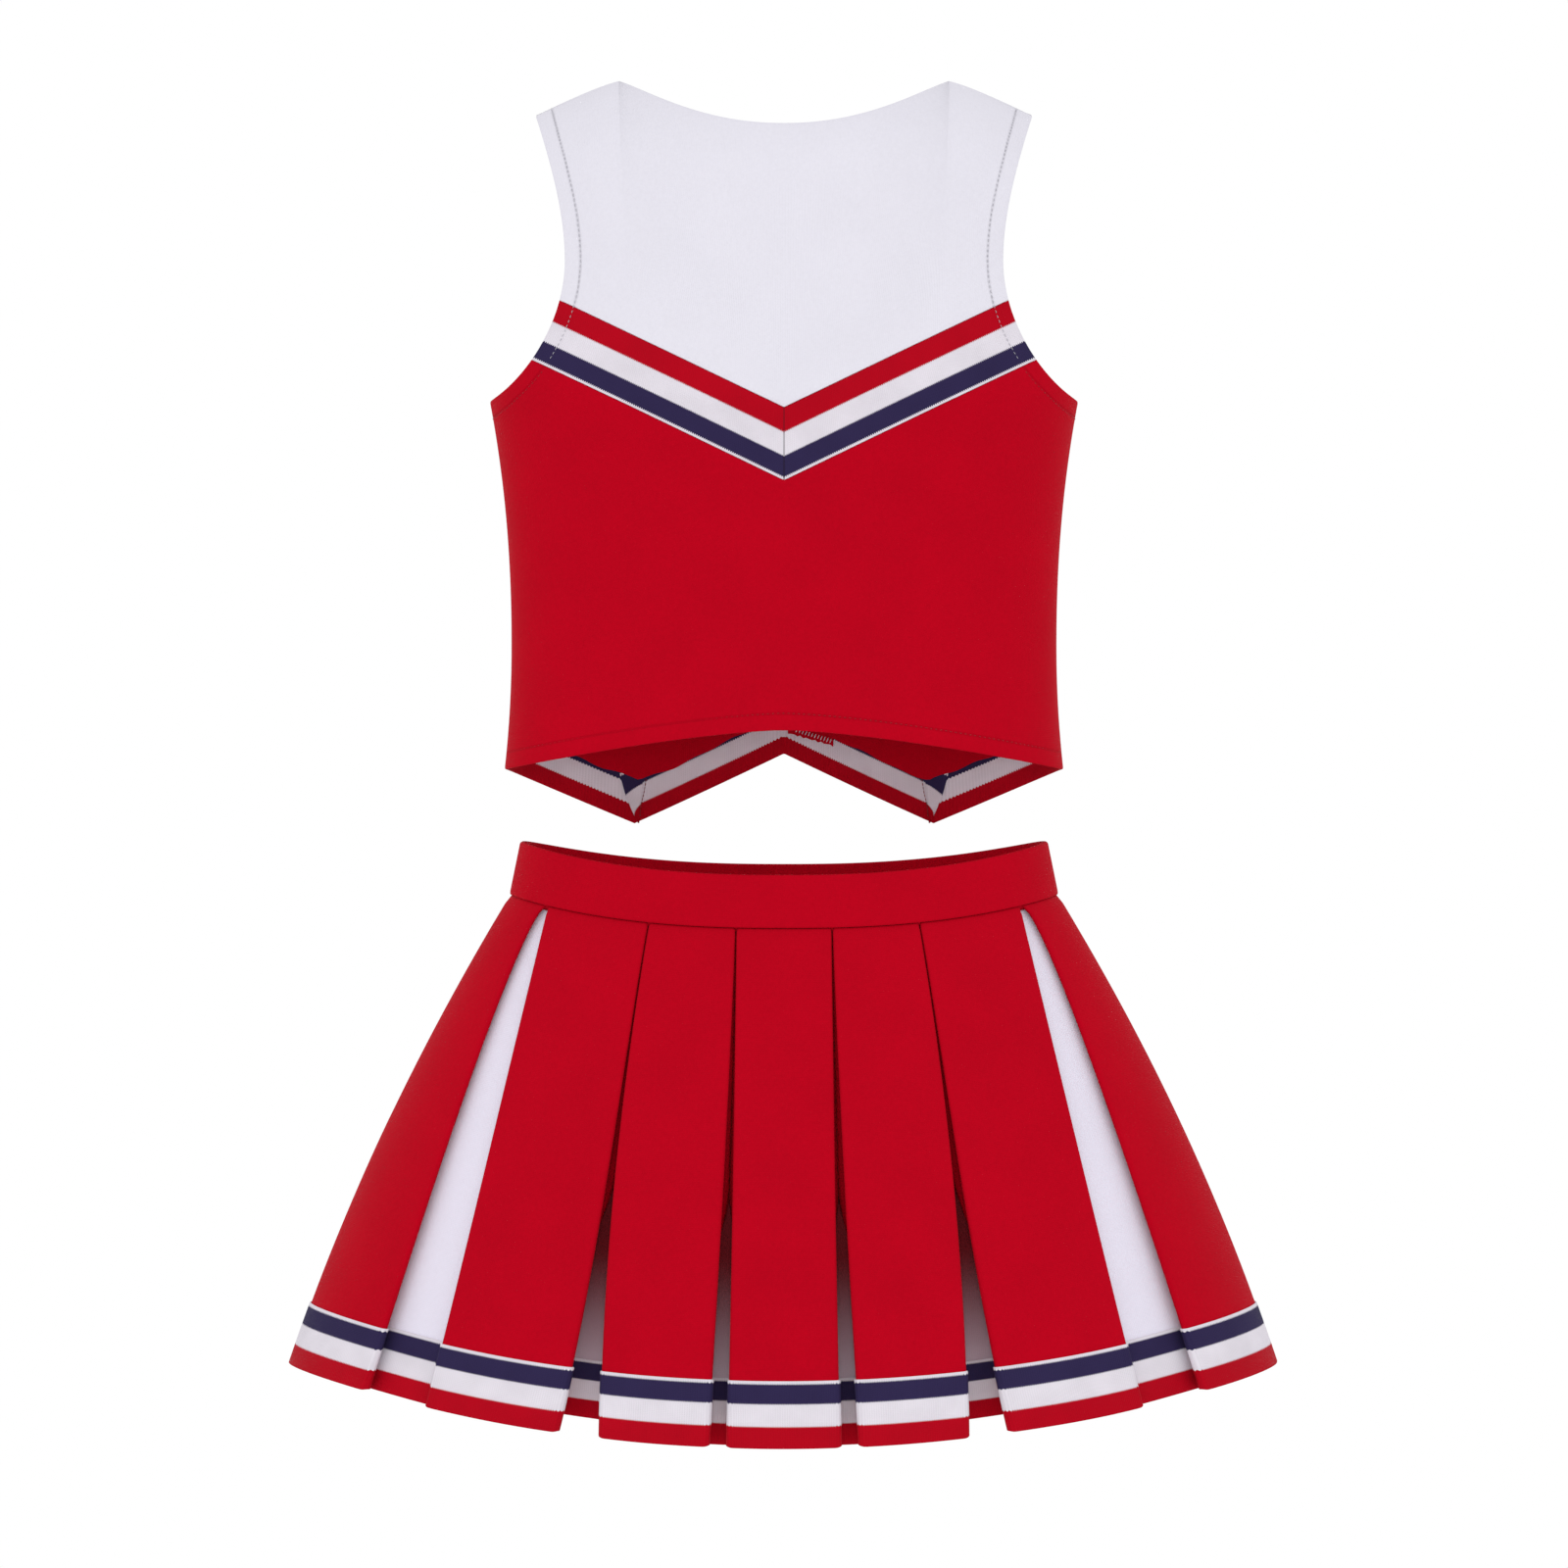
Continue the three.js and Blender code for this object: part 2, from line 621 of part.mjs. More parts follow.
function addYokes() {
  const columns = neckColumns + 2 * shoulderColumns;
  const neckShare = neckColumns / columns;
  const lineZ = chevronZ + braidRiseOnSlope + seamGap;
  const start = armholeCrossing(lineZ);
  const startX = armholeLower.getPoint(start).x;
  const necks = {
    back: [back, backNeckDrop, backNeckCurve],
    front: [front, frontNeckDrop, frontNeckCurve],
  };
  for (const [name, [face, drop, curve]] of Object.entries(necks)) {
    const chart = (x, z) => [x, rollTurn(x, z)];
    const bottom = (u) => {
      const x = lerp(-startX, startX, u);
      return chart(x, lineZ + chevronSlope * Math.abs(x));
    };
    const top = (u) => {
      const across = 2 * u - 1;
      if (Math.abs(across) <= neckShare) {
        const x = neckHalf * Math.sin((quarter * across) / neckShare);
        const z = shoulderLevel(x) - drop * (1 - (Math.abs(x) / neckHalf) ** curve);
        return [x, Math.max(rollTurn(x, z), seamGap / (2 * chestDeep))];
      }
      const x = lerp(neckHalf, shoulderHalf, (Math.abs(across) - neckShare) / (1 - neckShare));
      return [Math.sign(across) * x, seamGap / chestDeep];
    };
    const climb = armholeClimb(start);
    const edge = (v) => [climb(v)[0], Math.max(climb(v)[1], seamGap / chestDeep)];
    const mirroredEdge = (v) => [-edge(v)[0], edge(v)[1]];
    const fill = patch(bottom, top, mirroredEdge, edge);
    const place = (u, v, inward) => onYoke(face, ...fill(u, v), inward);
    addPiece(`top_yoke_${name}`, ply(place, columns, yokeRows, cloth), "yokeWhite");
  }
}

function addChevrons() {
  const columns = 7;
  const rows = 2;
  for (const [name, face] of Object.entries({ back, front })) {
    const place = (u, v, inward) => {
      const lineZ = chevronZ + v * braidRiseOnSlope;
      const end = armholeLower.getPoint(armholeCrossing(lineZ)).x;
      const x = lerp(seamGap / 2, end, u);
      const z = lineZ + chevronSlope * x;
      return onTorso(faceAngle(face, torsoAngle(x, z)), z, inward);
    };
    const right = ply(place, columns, rows, cloth);
    addPiece(`top_chevron_${name}_right`, right, "braid");
    addPiece(`top_chevron_${name}_left`, mirrored(right), "braid");
  }
}

// Half the opening in the top's left side seam: wide over the zip and closed past both its ends.
const topZipLow = topHemZ + topZipRise;
function topSlotHalf(z) {
  const past = Math.max(topZipLow - z, z - topZipLow - zipLength);
  const shut = THREE.MathUtils.smoothstep(past, 0, zipTaperLength);
  return lerp(zipSlot, seamGap, shut) / 2;
}
// The angle of a side seam's edge from the middle of the face, at a level.
function sideSeamAngle(side, z) {
  const half = side > 0 ? seamGap / 2 : topSlotHalf(z);
  return side * (quarter - angleShortOfSide(half, torsoDeep(z), torsoRound));
}

const backHem = (x) => topHemZ + backHemRise * (1 - (Math.abs(x) / topHemHalf) ** backHemCurve);
function frontHem(x) {
  const point = topHemZ - frontHemPointDrop;
  const out = Math.abs(x);
  const outer = (out - frontHemPointX) / (topHemHalf - frontHemPointX);
  if (out > frontHemPointX) return lerp(point, topHemZ, outer);
  return lerp(topHemZ + frontHemCentreRise, point, out / frontHemPointX);
}

function addBodies() {
  const columns = 24;
  const rows = 12;
  const seamShare = 7 / rows; // the other rows run up the armhole's edge
  const lineZ = chevronZ - seamGap;
  const end = armholeCrossing(lineZ);
  const endX = armholeLower.getPoint(end).x;
  const hems = {
    back: [back, backHem],
    front: [front, (x) => frontHem(x) + frontBraidHeight + seamGap],
  };
  for (const [name, [face, hem]] of Object.entries(hems)) {
    const sideX = (share, z) => torsoHalf(z) * Math.sin(share) ** (2 / torsoRound);
    const bottom = (u) => {
      const cornerZ = hem(topHemHalf);
      const angle = Math.abs(2 * u - 1) * sideSeamAngle(u < 0.5 ? -1 : 1, cornerZ);
      return [angle, hem(sideX(Math.abs(angle), cornerZ))];
    };
    const top = (u) => {
      const x = lerp(-endX, endX, u);
      const z = lineZ + chevronSlope * Math.abs(x);
      return [torsoAngle(x, z), z];
    };
    const edge = (side) => (v) => {
      if (v <= seamShare) {
        const z = lerp(hem(topHemHalf), underarmZ, v / seamShare);
        return [sideSeamAngle(side, z), z];
      }
      const point = armholeLower.getPoint(end * ((v - seamShare) / (1 - seamShare)) ** underarmCurve);
      return [side * torsoAngle(point.x, point.y), point.y];
    };
    const fill = patch(bottom, top, edge(-1), edge(1));
    const place = (u, v, inward) => {
      const [angle, z] = fill(u, v);
      return onTorso(faceAngle(face, angle), z, inward);
    };
    addPiece(`top_body_${name}`, ply(place, columns, rows, cloth), "red");
  }
}

// The front's zigzag hem: four lengths of braid, mitred at the two points and in the middle.
function addFrontHemBraid() {
  const columns = { inner: 5, outer: 7 };
  const rows = 2;
  for (const [sideName, side] of Object.entries({ left: -1, right: 1 })) {
    for (const [name, count] of Object.entries(columns)) {
      const place = (u, v, inward) => {
        const inner = name === "inner";
        const nearX = inner ? seamGap / 2 : frontHemPointX + seamGap / 2;
        const cornerZ = topHemZ + v * frontBraidHeight;
        const nearAngle = torsoAngle(nearX, cornerZ);
        const farX = frontHemPointX - seamGap / 2;
        const farAngle = inner ? torsoAngle(farX, cornerZ) : Math.abs(sideSeamAngle(side, cornerZ));
        const angle = lerp(nearAngle, farAngle, u);
        const x = torsoHalf(cornerZ) * Math.sin(angle) ** (2 / torsoRound);
        const z = frontHem(Math.min(x, topHemHalf)) + v * frontBraidHeight;
        return onTorso(faceAngle(front, side * angle), z, inward);
      };
      addPiece(`top_hem_braid_${name}_${sideName}`, ply(place, count, rows, cloth), "braid");
    }
  }
}

// A facing: a narrow ring of thin cloth inside an opening's edge. Each stop has a point of the edge
// in a chart of its surface, with at(u, v, inward), and towards says which way the cloth lies.
function facing(stops, width, towards) {
  const edgeMargin = 0.5;
  const points = stops.map((stop) => stop.at(stop.u, stop.v, 0));
  return ring(stops.map((stop, index) => {
    const before = points[(index + stops.length - 1) % stops.length];
    const after = points[(index + 1) % stops.length];
    const tangent = after.clone().sub(before).normalize();
    const step = 1e-3;
    const alongU = stop.at(stop.u + step, stop.v, 0).sub(points[index]).divideScalar(step);
    const alongV = stop.at(stop.u, stop.v + step, 0).sub(points[index]).divideScalar(step);
    const normal = alongU.clone().cross(alongV).normalize();
    const into = normal.cross(tangent).normalize();
    if (into.dot(towards(points[index])) < 0) into.negate();
    const [uu, uv, vv] = [alongU.dot(alongU), alongU.dot(alongV), alongV.dot(alongV)];
    const [iu, iv] = [into.dot(alongU), into.dot(alongV)];
    const scale = uu * vv - uv * uv;
    const du = (iu * vv - iv * uv) / scale;
    const dv = (iv * uu - iu * uv) / scale;
    const place = (reach, inward) => stop.at(stop.u + du * reach, stop.v + dv * reach, inward);
    const nearFace = cloth + facingGap;
    const farFace = nearFace + thinCloth;
    return [
      place(edgeMargin, nearFace),
      place(width, nearFace),
      place(width, farFace),
      place(edgeMargin, farFace),
    ];
  }));
}

function addArmholeFacings() {
  const upperFrom = 0.55; // above this share of the lower curve the shoulder's chart is used
  const stops = [];
  const climb = armholeClimb(upperFrom);
  const lowerStop = (face, share) => {
    const point = armholeLower.getPoint(share);
    return { u: faceAngle(face, torsoAngle(point.x, point.y)), v: point.y, at: onTorso };
  };
  const upperStop = (face, [x, turn]) => {
    const at = (u, v, inward) => onYoke(face, u, v, inward);
    return { u: x, v: turn, at };
  };
  const shares = steps(ringStations);
  const lowerShares = shares.slice(0, -1).map((share) => upperFrom * share ** underarmCurve);
  for (const face of [back, front]) {
    const lower = lowerShares.map((share) => lowerStop(face, share));
    const upper = shares.map((share) => upperStop(face, climb(share)));
    if (face === back) stops.push(...lower, ...upper);
    else stops.push(...upper.slice(0, -1).reverse(), ...lower.slice(1).reverse());
  }
  const middle = new THREE.Vector3(chestHalf, 0, topHemZ + armholeRise);
  const right = facing(stops, facingWidth, (point) => point.clone().sub(middle));
  addPiece("top_armhole_facing_right", right, "yokeWhite");
  addPiece("top_armhole_facing_left", mirrored(right), "yokeWhite");
}

function addNeckFacing() {
  const stops = [];
  const shares = steps(2 * ringStations);
  const necks = [
    [back, backNeckDrop, backNeckCurve],
    [front, frontNeckDrop, frontNeckCurve],
  ];
  for (const [face, drop, curve] of necks) {
    for (const share of shares.slice(0, -1)) {
      const x = -face * lerp(-neckHalf, neckHalf, share);
      const z = shoulderLevel(x) - drop * (1 - (Math.abs(x) / neckHalf) ** curve);
      stops.push({ u: x, v: rollTurn(x, z), at: (u, v, inward) => onYoke(face, u, v, inward) });
    }
  }
  const middle = new THREE.Vector3(0, 0, neckZ + shoulderRoll);
  const solid = facing(stops, neckFacingWidth, (point) => point.clone().sub(middle));
  addPiece("top_neck_facing", solid, "yokeWhite");
}

function addNeckLabel() {
  const topZ = neckZ - backNeckDrop - neckFacingWidth - 1;
  const place = (u, v, inward) => {
    const x = lerp(-labelWidth / 2, labelWidth / 2, u);
    const z = lerp(topZ - labelHeight, topZ, v);
    return onYoke(back, x, rollTurn(x, z), inward);
  };
  addPiece("top_neck_label", ply(place, 1, 1, thinCloth, cloth + facingGap), "yokeWhite");
}

// ----------------------------------------------------------------------------- zips and fastener

// A frame in a left side seam: X points out of the cloth, Y towards the back and Z up the seam.
function seamFrame(low, high) {
  const up = high.clone().sub(low).normalize();
  const sideways = new THREE.Vector3(0, -1, 0);
  const outward = sideways.clone().cross(up);
  const frame = new THREE.Group();
  frame.position.copy(low);
  frame.quaternion.setFromRotationMatrix(new THREE.Matrix4().makeBasis(outward, sideways, up));
  uniform.add(frame);
  return frame;
}

const tapeFace = -(cloth + zipSink);
const coilFace = tapeFace + coilStand;
const coilBack = coilFace - coilThick;
const plateBack = coilFace + sliderSpace;
const plateFace = plateBack + sliderPlate;
const bailMiddle = zipLength - endMargin - sliderLength / 2;
const pivotOut = plateFace + bailRoom / 2;

function tapeSection(side) {
  const section = [
    [tapeFace - tapeCloth, tapeReach],
    [tapeFace, tapeReach],
    [tapeFace, coilHalf],
    [coilFace, coilHalf],
    [coilFace, coilGap],
    [coilBack, coilGap],
    [coilBack, coilHalf],
    [tapeFace - tapeCloth, coilHalf],
  ];
  return section.map(([outward, sideways]) => [outward, side * sideways]);
}

function sliderSolid() {
  const from = zipLength - endMargin - sliderLength;
  const rearFace = coilBack - sliderSpace;
  const legs = [-1, 1].map((side) => {
    const start = bailMiddle + (side * (bailSpan + bailWall)) / 2 - bailWall / 2;
    return block(plateFace, plateFace + bailRoom, bailHalf, start, bailWall);
  });
  const topFrom = bailMiddle - bailSpan / 2 - bailWall;
  const bailFace = plateFace + bailRoom;
  return joined([
    block(plateBack, plateFace, sliderHalf, from, sliderLength),
    block(rearFace, plateBack, sliderWeb, from, sliderLength),
    block(rearFace - sliderPlate, rearFace, sliderHalf, from, sliderLength),
    ...legs,
    block(bailFace, bailFace + bailWall, bailHalf, topFrom, bailSpan + 2 * bailWall),
  ]);
}

// The pull hangs from its end bar: a tongue with a rounded tip and an eye that the bail goes through.
function pullSolid() {
  const top = bailMiddle + pullBar / 2;
  const shape = new THREE.Shape();
  shape.moveTo(-pullHalf, top - pullLength + pullHalf);
  shape.absarc(0, top - pullLength + pullHalf, pullHalf, Math.PI, 2 * Math.PI, false);
  shape.lineTo(pullHalf * pullTopShare, top);
  shape.lineTo(-pullHalf * pullTopShare, top);
  const eye = new THREE.Path();
  const eyeTop = bailMiddle - pullBar / 2;
  eye.moveTo(-eyeHalf, eyeTop);
  eye.lineTo(-eyeHalf, eyeTop - eyeLength);
  eye.lineTo(eyeHalf, eyeTop - eyeLength);
  eye.lineTo(eyeHalf, eyeTop);
  shape.holes.push(eye);
  const settings = { depth: pullThick, bevelEnabled: false, curveSegments: 5 };
  const geometry = new THREE.ExtrudeGeometry(shape, settings);
  geometry.applyMatrix4(new THREE.Matrix4().makeBasis(
    new THREE.Vector3(0, 1, 0), new THREE.Vector3(0, 0, 1), new THREE.Vector3(1, 0, 0),
  ));
  return geometry.translate(pivotOut - pullThick / 2, 0, 0);
}

function stopSolid() {
  const clearance = 0.3;
  const web = block(coilBack, coilFace + clearance, sliderWeb, endMargin, stopLength);
  const plateLow = coilFace + clearance;
  const plate = block(plateLow, plateLow + stopPlate, coilHalf, endMargin, stopLength);
  return joined([web, plate]);
}

function addZip(prefix, low, high) {
  const frame = seamFrame(low, high);
  addPiece(`${prefix}_zip_tape_back`, bar(tapeSection(1), 0, zipLength), "tape", frame);
  addPiece(`${prefix}_zip_tape_front`, bar(tapeSection(-1).reverse(), 0, zipLength), "tape", frame);
  addPiece(`${prefix}_zip_slider`, sliderSolid(), "metal", frame);
  addPiece(`${prefix}_zip_pull`, pullSolid(), "metal", frame);
  addPiece(`${prefix}_zip_stop`, stopSolid(), "metal", frame);
}

function addZips() {
  const topHigh = topZipLow + zipLength;
  addZip(
    "top",
    new THREE.Vector3(-torsoHalf(topZipLow), 0, topZipLow),
    new THREE.Vector3(-torsoHalf(topHigh), 0, topHigh),
  );
  const riseAt = (z) => (z - hemSideRise) / sideLineLength;
  const skirtHigh = skirtSurface(-quarter, riseAt(skirtZipTop));
  const skirtLow = skirtSurface(-quarter, riseAt(skirtZipTop - zipLength));
  addZip("skirt", skirtHigh.clone().add(skirtLow.clone().sub(skirtHigh).setLength(zipLength)), skirtHigh);
}

// The waistband closes with a flat hook on its front end and a bar on its back end.
function addHookAndBar() {
  const frame = seamFrame(bandSurface(-quarter, 0), bandSurface(-quarter, 1));
  const middle = bandHeight / 2;
  const face = -(cloth + hookSink);
  const deepFace = face - hookPlate - plyGap;
  const tipFace = face - plyGap;
  const jog = 2.6;
  const hook = [
    [face, -hookReach],
    [face, -jog + plyGap],
    [deepFace, -jog + plyGap],
    [deepFace, hookTongue - hookPlate],
    [tipFace, hookTongue - hookPlate],
    [tipFace, hookTongue],
    [deepFace - hookPlate, hookTongue],
    [deepFace - hookPlate, -jog - plyGap],
    [face - hookPlate, -jog - plyGap],
    [face - hookPlate, -hookReach],
  ];
  addPiece("skirt_hook", bar(hook, middle - hookWidth / 2, hookWidth), "metal", frame);
  const half = barWindow / 2;
  const outline = new THREE.Shape();
  outline.moveTo(barStart, middle - half - barFrame);
  outline.lineTo(barReach, middle - half - barFrame);
  outline.lineTo(barReach, middle + half + barFrame);
  outline.lineTo(barStart, middle + half + barFrame);
  const window = new THREE.Path();
  window.moveTo(barStart + barFrame, middle - half);
  window.lineTo(barStart + barFrame, middle + half);
  window.lineTo(barWindowEnd, middle + half);
  window.lineTo(barWindowEnd, middle - half);
  outline.holes.push(window);
  const geometry = new THREE.ExtrudeGeometry(outline, { depth: hookPlate, bevelEnabled: false });
  geometry.applyMatrix4(new THREE.Matrix4().makeBasis(
    new THREE.Vector3(0, 1, 0), new THREE.Vector3(0, 0, 1), new THREE.Vector3(1, 0, 0),
  ));
  addPiece("skirt_hook_bar", geometry.translate(face - hookPlate, 0, 0), "metal", frame);
}

addSkirtPanels();
addPleatInserts();
addHemBraid();
addWaistband();
addYokes();
addChevrons();
addBodies();
addFrontHemBraid();
addArmholeFacings();
addNeckFacing();
addNeckLabel();
addZips();
addHookAndBar();

export default uniform;
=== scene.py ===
"""A cheer uniform in cloth: a shell top with a striped chevron and a box-pleated skirt."""

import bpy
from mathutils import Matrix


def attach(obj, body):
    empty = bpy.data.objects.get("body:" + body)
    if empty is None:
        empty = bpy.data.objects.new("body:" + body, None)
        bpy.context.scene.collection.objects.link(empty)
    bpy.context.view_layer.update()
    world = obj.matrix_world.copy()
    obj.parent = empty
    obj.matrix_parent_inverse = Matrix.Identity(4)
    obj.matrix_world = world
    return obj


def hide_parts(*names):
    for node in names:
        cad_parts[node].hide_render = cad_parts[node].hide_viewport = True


bl_info = {
    "name": "Cheer Uniform",
    "version": (1, 0, 0),
    "blender": (4, 5, 0),
    "location": "3D View > Sidebar > Uniform",
    "description": "Sews a shell top and a box-pleated skirt over their cut pieces",
    "category": "Object",
}

import math

import bpy
import numpy as np
from bpy.props import FloatProperty, FloatVectorProperty, IntProperty, PointerProperty
from mathutils import Vector

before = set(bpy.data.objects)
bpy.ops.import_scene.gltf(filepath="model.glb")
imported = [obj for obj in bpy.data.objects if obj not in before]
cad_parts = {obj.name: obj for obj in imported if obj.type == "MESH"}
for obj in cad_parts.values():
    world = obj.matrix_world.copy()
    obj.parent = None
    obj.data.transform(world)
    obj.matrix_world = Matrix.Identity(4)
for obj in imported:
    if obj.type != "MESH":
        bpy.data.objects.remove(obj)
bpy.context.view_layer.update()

# ---------------------------------------------------------------- pattern, in millimetres, +Z up
MM = 0.001
BACK, FRONT = -1, 1
SIDES = ((1, "right"), (-1, "left"))
QUARTER = math.pi / 2

CLOTH = 1.5  # double-knit shell cloth
THIN_CLOTH = 0.8
INSERT_CLOTH = 1.2
BRAID_WIDTH = 33.0
BRAID_THICK = 0.8
SEAM_GAP = 0.4
SEAM_LAP = 0.3  # how far cloth runs past the middle of a closed side seam
FACING_GAP = 2.1

SKIRT_DROP = 257.5
HEM_SIDE_RISE = 35.7
BAND_HEIGHT = 27.0
BAND_SIDE_RISE = 14.4
BAND_FRONT_RISE = 4.6
BAND_TOP_HALF = 134.0
BAND_TOP_DEEP = 65.0
SEAM_HALF = 139.5
SEAM_DEEP = 68.0
HEM_HALF = 251.0
HEM_DEEP = 155.0
SKIRT_BOW = 0.297
SEAM_ROUND = 2.4
HEM_ROUND = 2.0
# Each pleat's gap: its start at the seam and at the hem with the bow between them, its width at the
# hem and how that grows, the levels between which the red underlay closes over its white floor, how
# much its floor's hem is lifted, and at the hem its fold's radius and its floor's depth.
PLEATS = (
    {"seam": 24.0, "hem": 28.2, "bow": -1.5, "width": 9.8, "growth": 1.2, "white": (0.26, 0.50),
     "lift": 0.0, "fold": 2.0, "deep": 24.0},
    {"seam": 68.2, "hem": 92.2, "bow": 19.5, "width": 21.1, "growth": 2.7, "white": (0.28, 0.54),
     "lift": 7.0, "fold": 2.2, "deep": 26.0},
    {"seam": 120.0, "hem": 179.8, "bow": 0.0, "width": 31.4, "growth": 0.55, "white": (1.2, 1.4),
     "lift": 0.0, "fold": 1.2, "deep": 8.5},
)
GAP_AT_SEAM = 0.6
FOLD_DEEP_SEAM = 4.8
UNDERLAY_SEAM = 5.0
UNDERLAY_HEM = 12.0
FLOOR_WIDTH = 60.0  # about how wide a pleat's floor is; it only rounds the rims
FLOOR_COLUMNS = 14
FOLD_COLUMNS = 11  # points of a panel's path past its edge that the hem braid follows round a fold
SIDE_COLUMNS = 2
LAID_GAP = 0.05  # between braid and the cloth it is sewn on
CLOTH_STRETCH = 1.08  # cloth up the skirt for each millimetre of height at the side

GARMENT_GAP = 36.5
WAIST_RISE = 62.5
UNDERARM_RISE = 187.5
NECK_RISE = 351.0
TOP_HEM_HALF = 142.5
WAIST_HALF = 139.0
CHEST_HALF = 150.0
TOP_HEM_DEEP = 66.0
WAIST_DEEP = 64.0
CHEST_DEEP = 75.0
TORSO_ROUND = 2.5
WAIST_TO_HEM_CURVE = 2.0
WAIST_TO_CHEST_CURVE = 2.15
NECK_HALF = 84.0
SHOULDER_HALF = 126.5
SHOULDER_DROP = 18.5
SHOULDER_ROLL = 55.0
NECK_BLEND = 10.0
BACK_NECK = (26.6, 2.1)
FRONT_NECK = (56.0, 2.4)
ARMHOLE_HALF = 111.0
ARMHOLE_RISE = 257.0
UNDERARM_REACH = 0.56
UNDERARM_LIFT = 8.0
HOLD_BELOW = 32.0
HOLD_ABOVE = 25.0
BACK_HEM_RISE = 19.7
BACK_HEM_CURVE = 1.45
FRONT_HEM_CENTRE = 8.2
FRONT_HEM_DROP = 27.7
FRONT_POINT_X = 75.2
FRONT_BRAID_HEIGHT = 36.0
CHEVRON_RISE = 145.6
CHEVRON_SLOPE = 0.4816
FACING_WIDTH = 10.0
NECK_FACING_WIDTH = 12.0
UNDERARM_CROWD = 2.2
SIDE_BEND = 4

# Lengths of flat cloth, long side first where there are two.
PANEL_LENGTH = 272.0
INSERT_LENGTH = 270.0
BAND_LENGTH = 350.0
BODY_FLAT = (330, 190)
YOKE_FLAT = (250, 190)
FLAP_FLAT = (150, 29)
ALLOWANCE_FLAT = (12, 26)
JOIN_FLAT = (23.5, 12)
LABEL_FLAT = (21, 23)
FACING_LENGTH = 420.0
CHEVRON_REACH = 138.0
MITRE_LAP = 0.5

ZIP_LENGTH = 100.0
ZIP_SLOT = 8.0
ZIP_TAPER = 7.0
TAPE_BELOW = 7.0  # tape past the zip's lower end
TAPE_ABOVE = 6.0
TAPE_LENGTH = ZIP_LENGTH + TAPE_BELOW + TAPE_ABOVE
TAPE_FACE = -4.5  # how far out the tapes' faces lie from the side seam's line
COIL_THREAD = 0.52

# ---------------------------------------------------------------- studio, in metres and watts

FLOOR_RADIUS = 3.05
FLOOR_Z = -0.28
CAMERA_BACK = 6.0
CAMERA_Z = 0.3302
# Each light's name, place, width, power and what it is aimed at.
LIGHTS = (
    ("left", (-3.2, -2.4, 1.1), 2.6, 6.0, (0, 0, 0.33)),
    ("right", (3.2, -2.4, 1.1), 2.6, 5.0, (0, 0, 0.33)),
    ("front", (0.0, -5.2, 0.42), 0.9, 30.0, (0, 0, 0.36)),
)
TOP_ZIP_RISE = 46.0
SKIRT_ZIP_DROP = 10.0


def lerp(a, b, share):
    return a + (b - a) * share


def smoothstep(value, low, high):
    share = np.clip((value - low) / (high - low), 0, 1)
    return share * share * (3 - 2 * share)


def signed_power(value, power):
    return np.sign(value) * np.abs(value) ** power


def stacked(*parts):
    return np.stack(np.broadcast_arrays(*parts), axis=-1)


def unit(arrows):
    return arrows / np.linalg.norm(arrows, axis=-1, keepdims=True)


def bezier(points, share):
    p = [np.array(point, float) for point in points]
    t = np.asarray(share, float)[..., None]
    return (1 - t) ** 3 * p[0] + 3 * (1 - t) ** 2 * t * p[1] + 3 * (1 - t) * t**2 * p[2] + t**3 * p[3]


def section_point(angle, half, deep, roundness, z):
    x = half * signed_power(np.sin(angle), 2 / roundness)
    y = -deep * signed_power(np.cos(angle), 2 / roundness)
    return stacked(x, y, z)


def angle_across(x, half, roundness):
    return np.sign(x) * np.arcsin(np.minimum(1, np.abs(x) / half) ** (roundness / 2))


def short_of_side(gap, deep, roundness):
    """The turn between a section's side and a point gap before it, or past it where gap is negative."""
    return np.sign(gap) * np.arcsin((np.abs(gap) / deep) ** (roundness / 2))


def sunk(surface, u, v, inward, level=False):
    """Points some way below surface(u, v); u runs anticlockwise from above and v runs up."""
    step = 1e-3
    along = surface(u + step, v) - surface(u - step, v)
    up = surface(u, v + step) - surface(u, v - step)
    normal = np.cross(along, up)
    if level:
        normal[..., 2] = 0
    return surface(u, v) - unit(normal) * np.asarray(inward, float)[..., None]


# ---------------------------------------------------------------- skirt surfaces


def seam_level(angle):
    side = BAND_SIDE_RISE * np.sin(angle) ** 2
    return SKIRT_DROP + side + BAND_FRONT_RISE * (1 - np.cos(angle)) / 2


def hem_level(angle):
    return HEM_SIDE_RISE * np.sin(angle) ** 2


def spread(drop):
    return (1 + SKIRT_BOW) * drop - SKIRT_BOW * drop**2


def skirt_half(drop):
    return lerp(SEAM_HALF, HEM_HALF, spread(drop))


def skirt_deep(drop):
    return lerp(SEAM_DEEP, HEM_DEEP, spread(drop))


def skirt_round(drop):
    return lerp(SEAM_ROUND, HEM_ROUND, drop)


def skirt_surface(angle, rise):
    drop = 1 - rise
    z = lerp(hem_level(angle), seam_level(angle), rise)
    return section_point(angle, skirt_half(drop), skirt_deep(drop), skirt_round(drop), z)


def on_skirt(angle, rise, inward):
    return sunk(skirt_surface, angle, rise, inward, level=True)


def gap_edges(pleat, rise):
    drop = 1 - rise
    start = lerp(pleat["seam"], pleat["hem"], drop) + pleat["bow"] * drop * (1 - drop)
    end = start + GAP_AT_SEAM + (pleat["width"] - GAP_AT_SEAM) * np.clip(drop, 0, 2) ** pleat["growth"]
    return [angle_across(x, skirt_half(drop), skirt_round(drop)) for x in (start, end)]


SIDE_LINE = SKIRT_DROP + BAND_SIDE_RISE + BAND_FRONT_RISE / 2 - HEM_SIDE_RISE
SKIRT_ZIP_TOP = SKIRT_DROP + BAND_SIDE_RISE + BAND_FRONT_RISE / 2 - SKIRT_ZIP_DROP


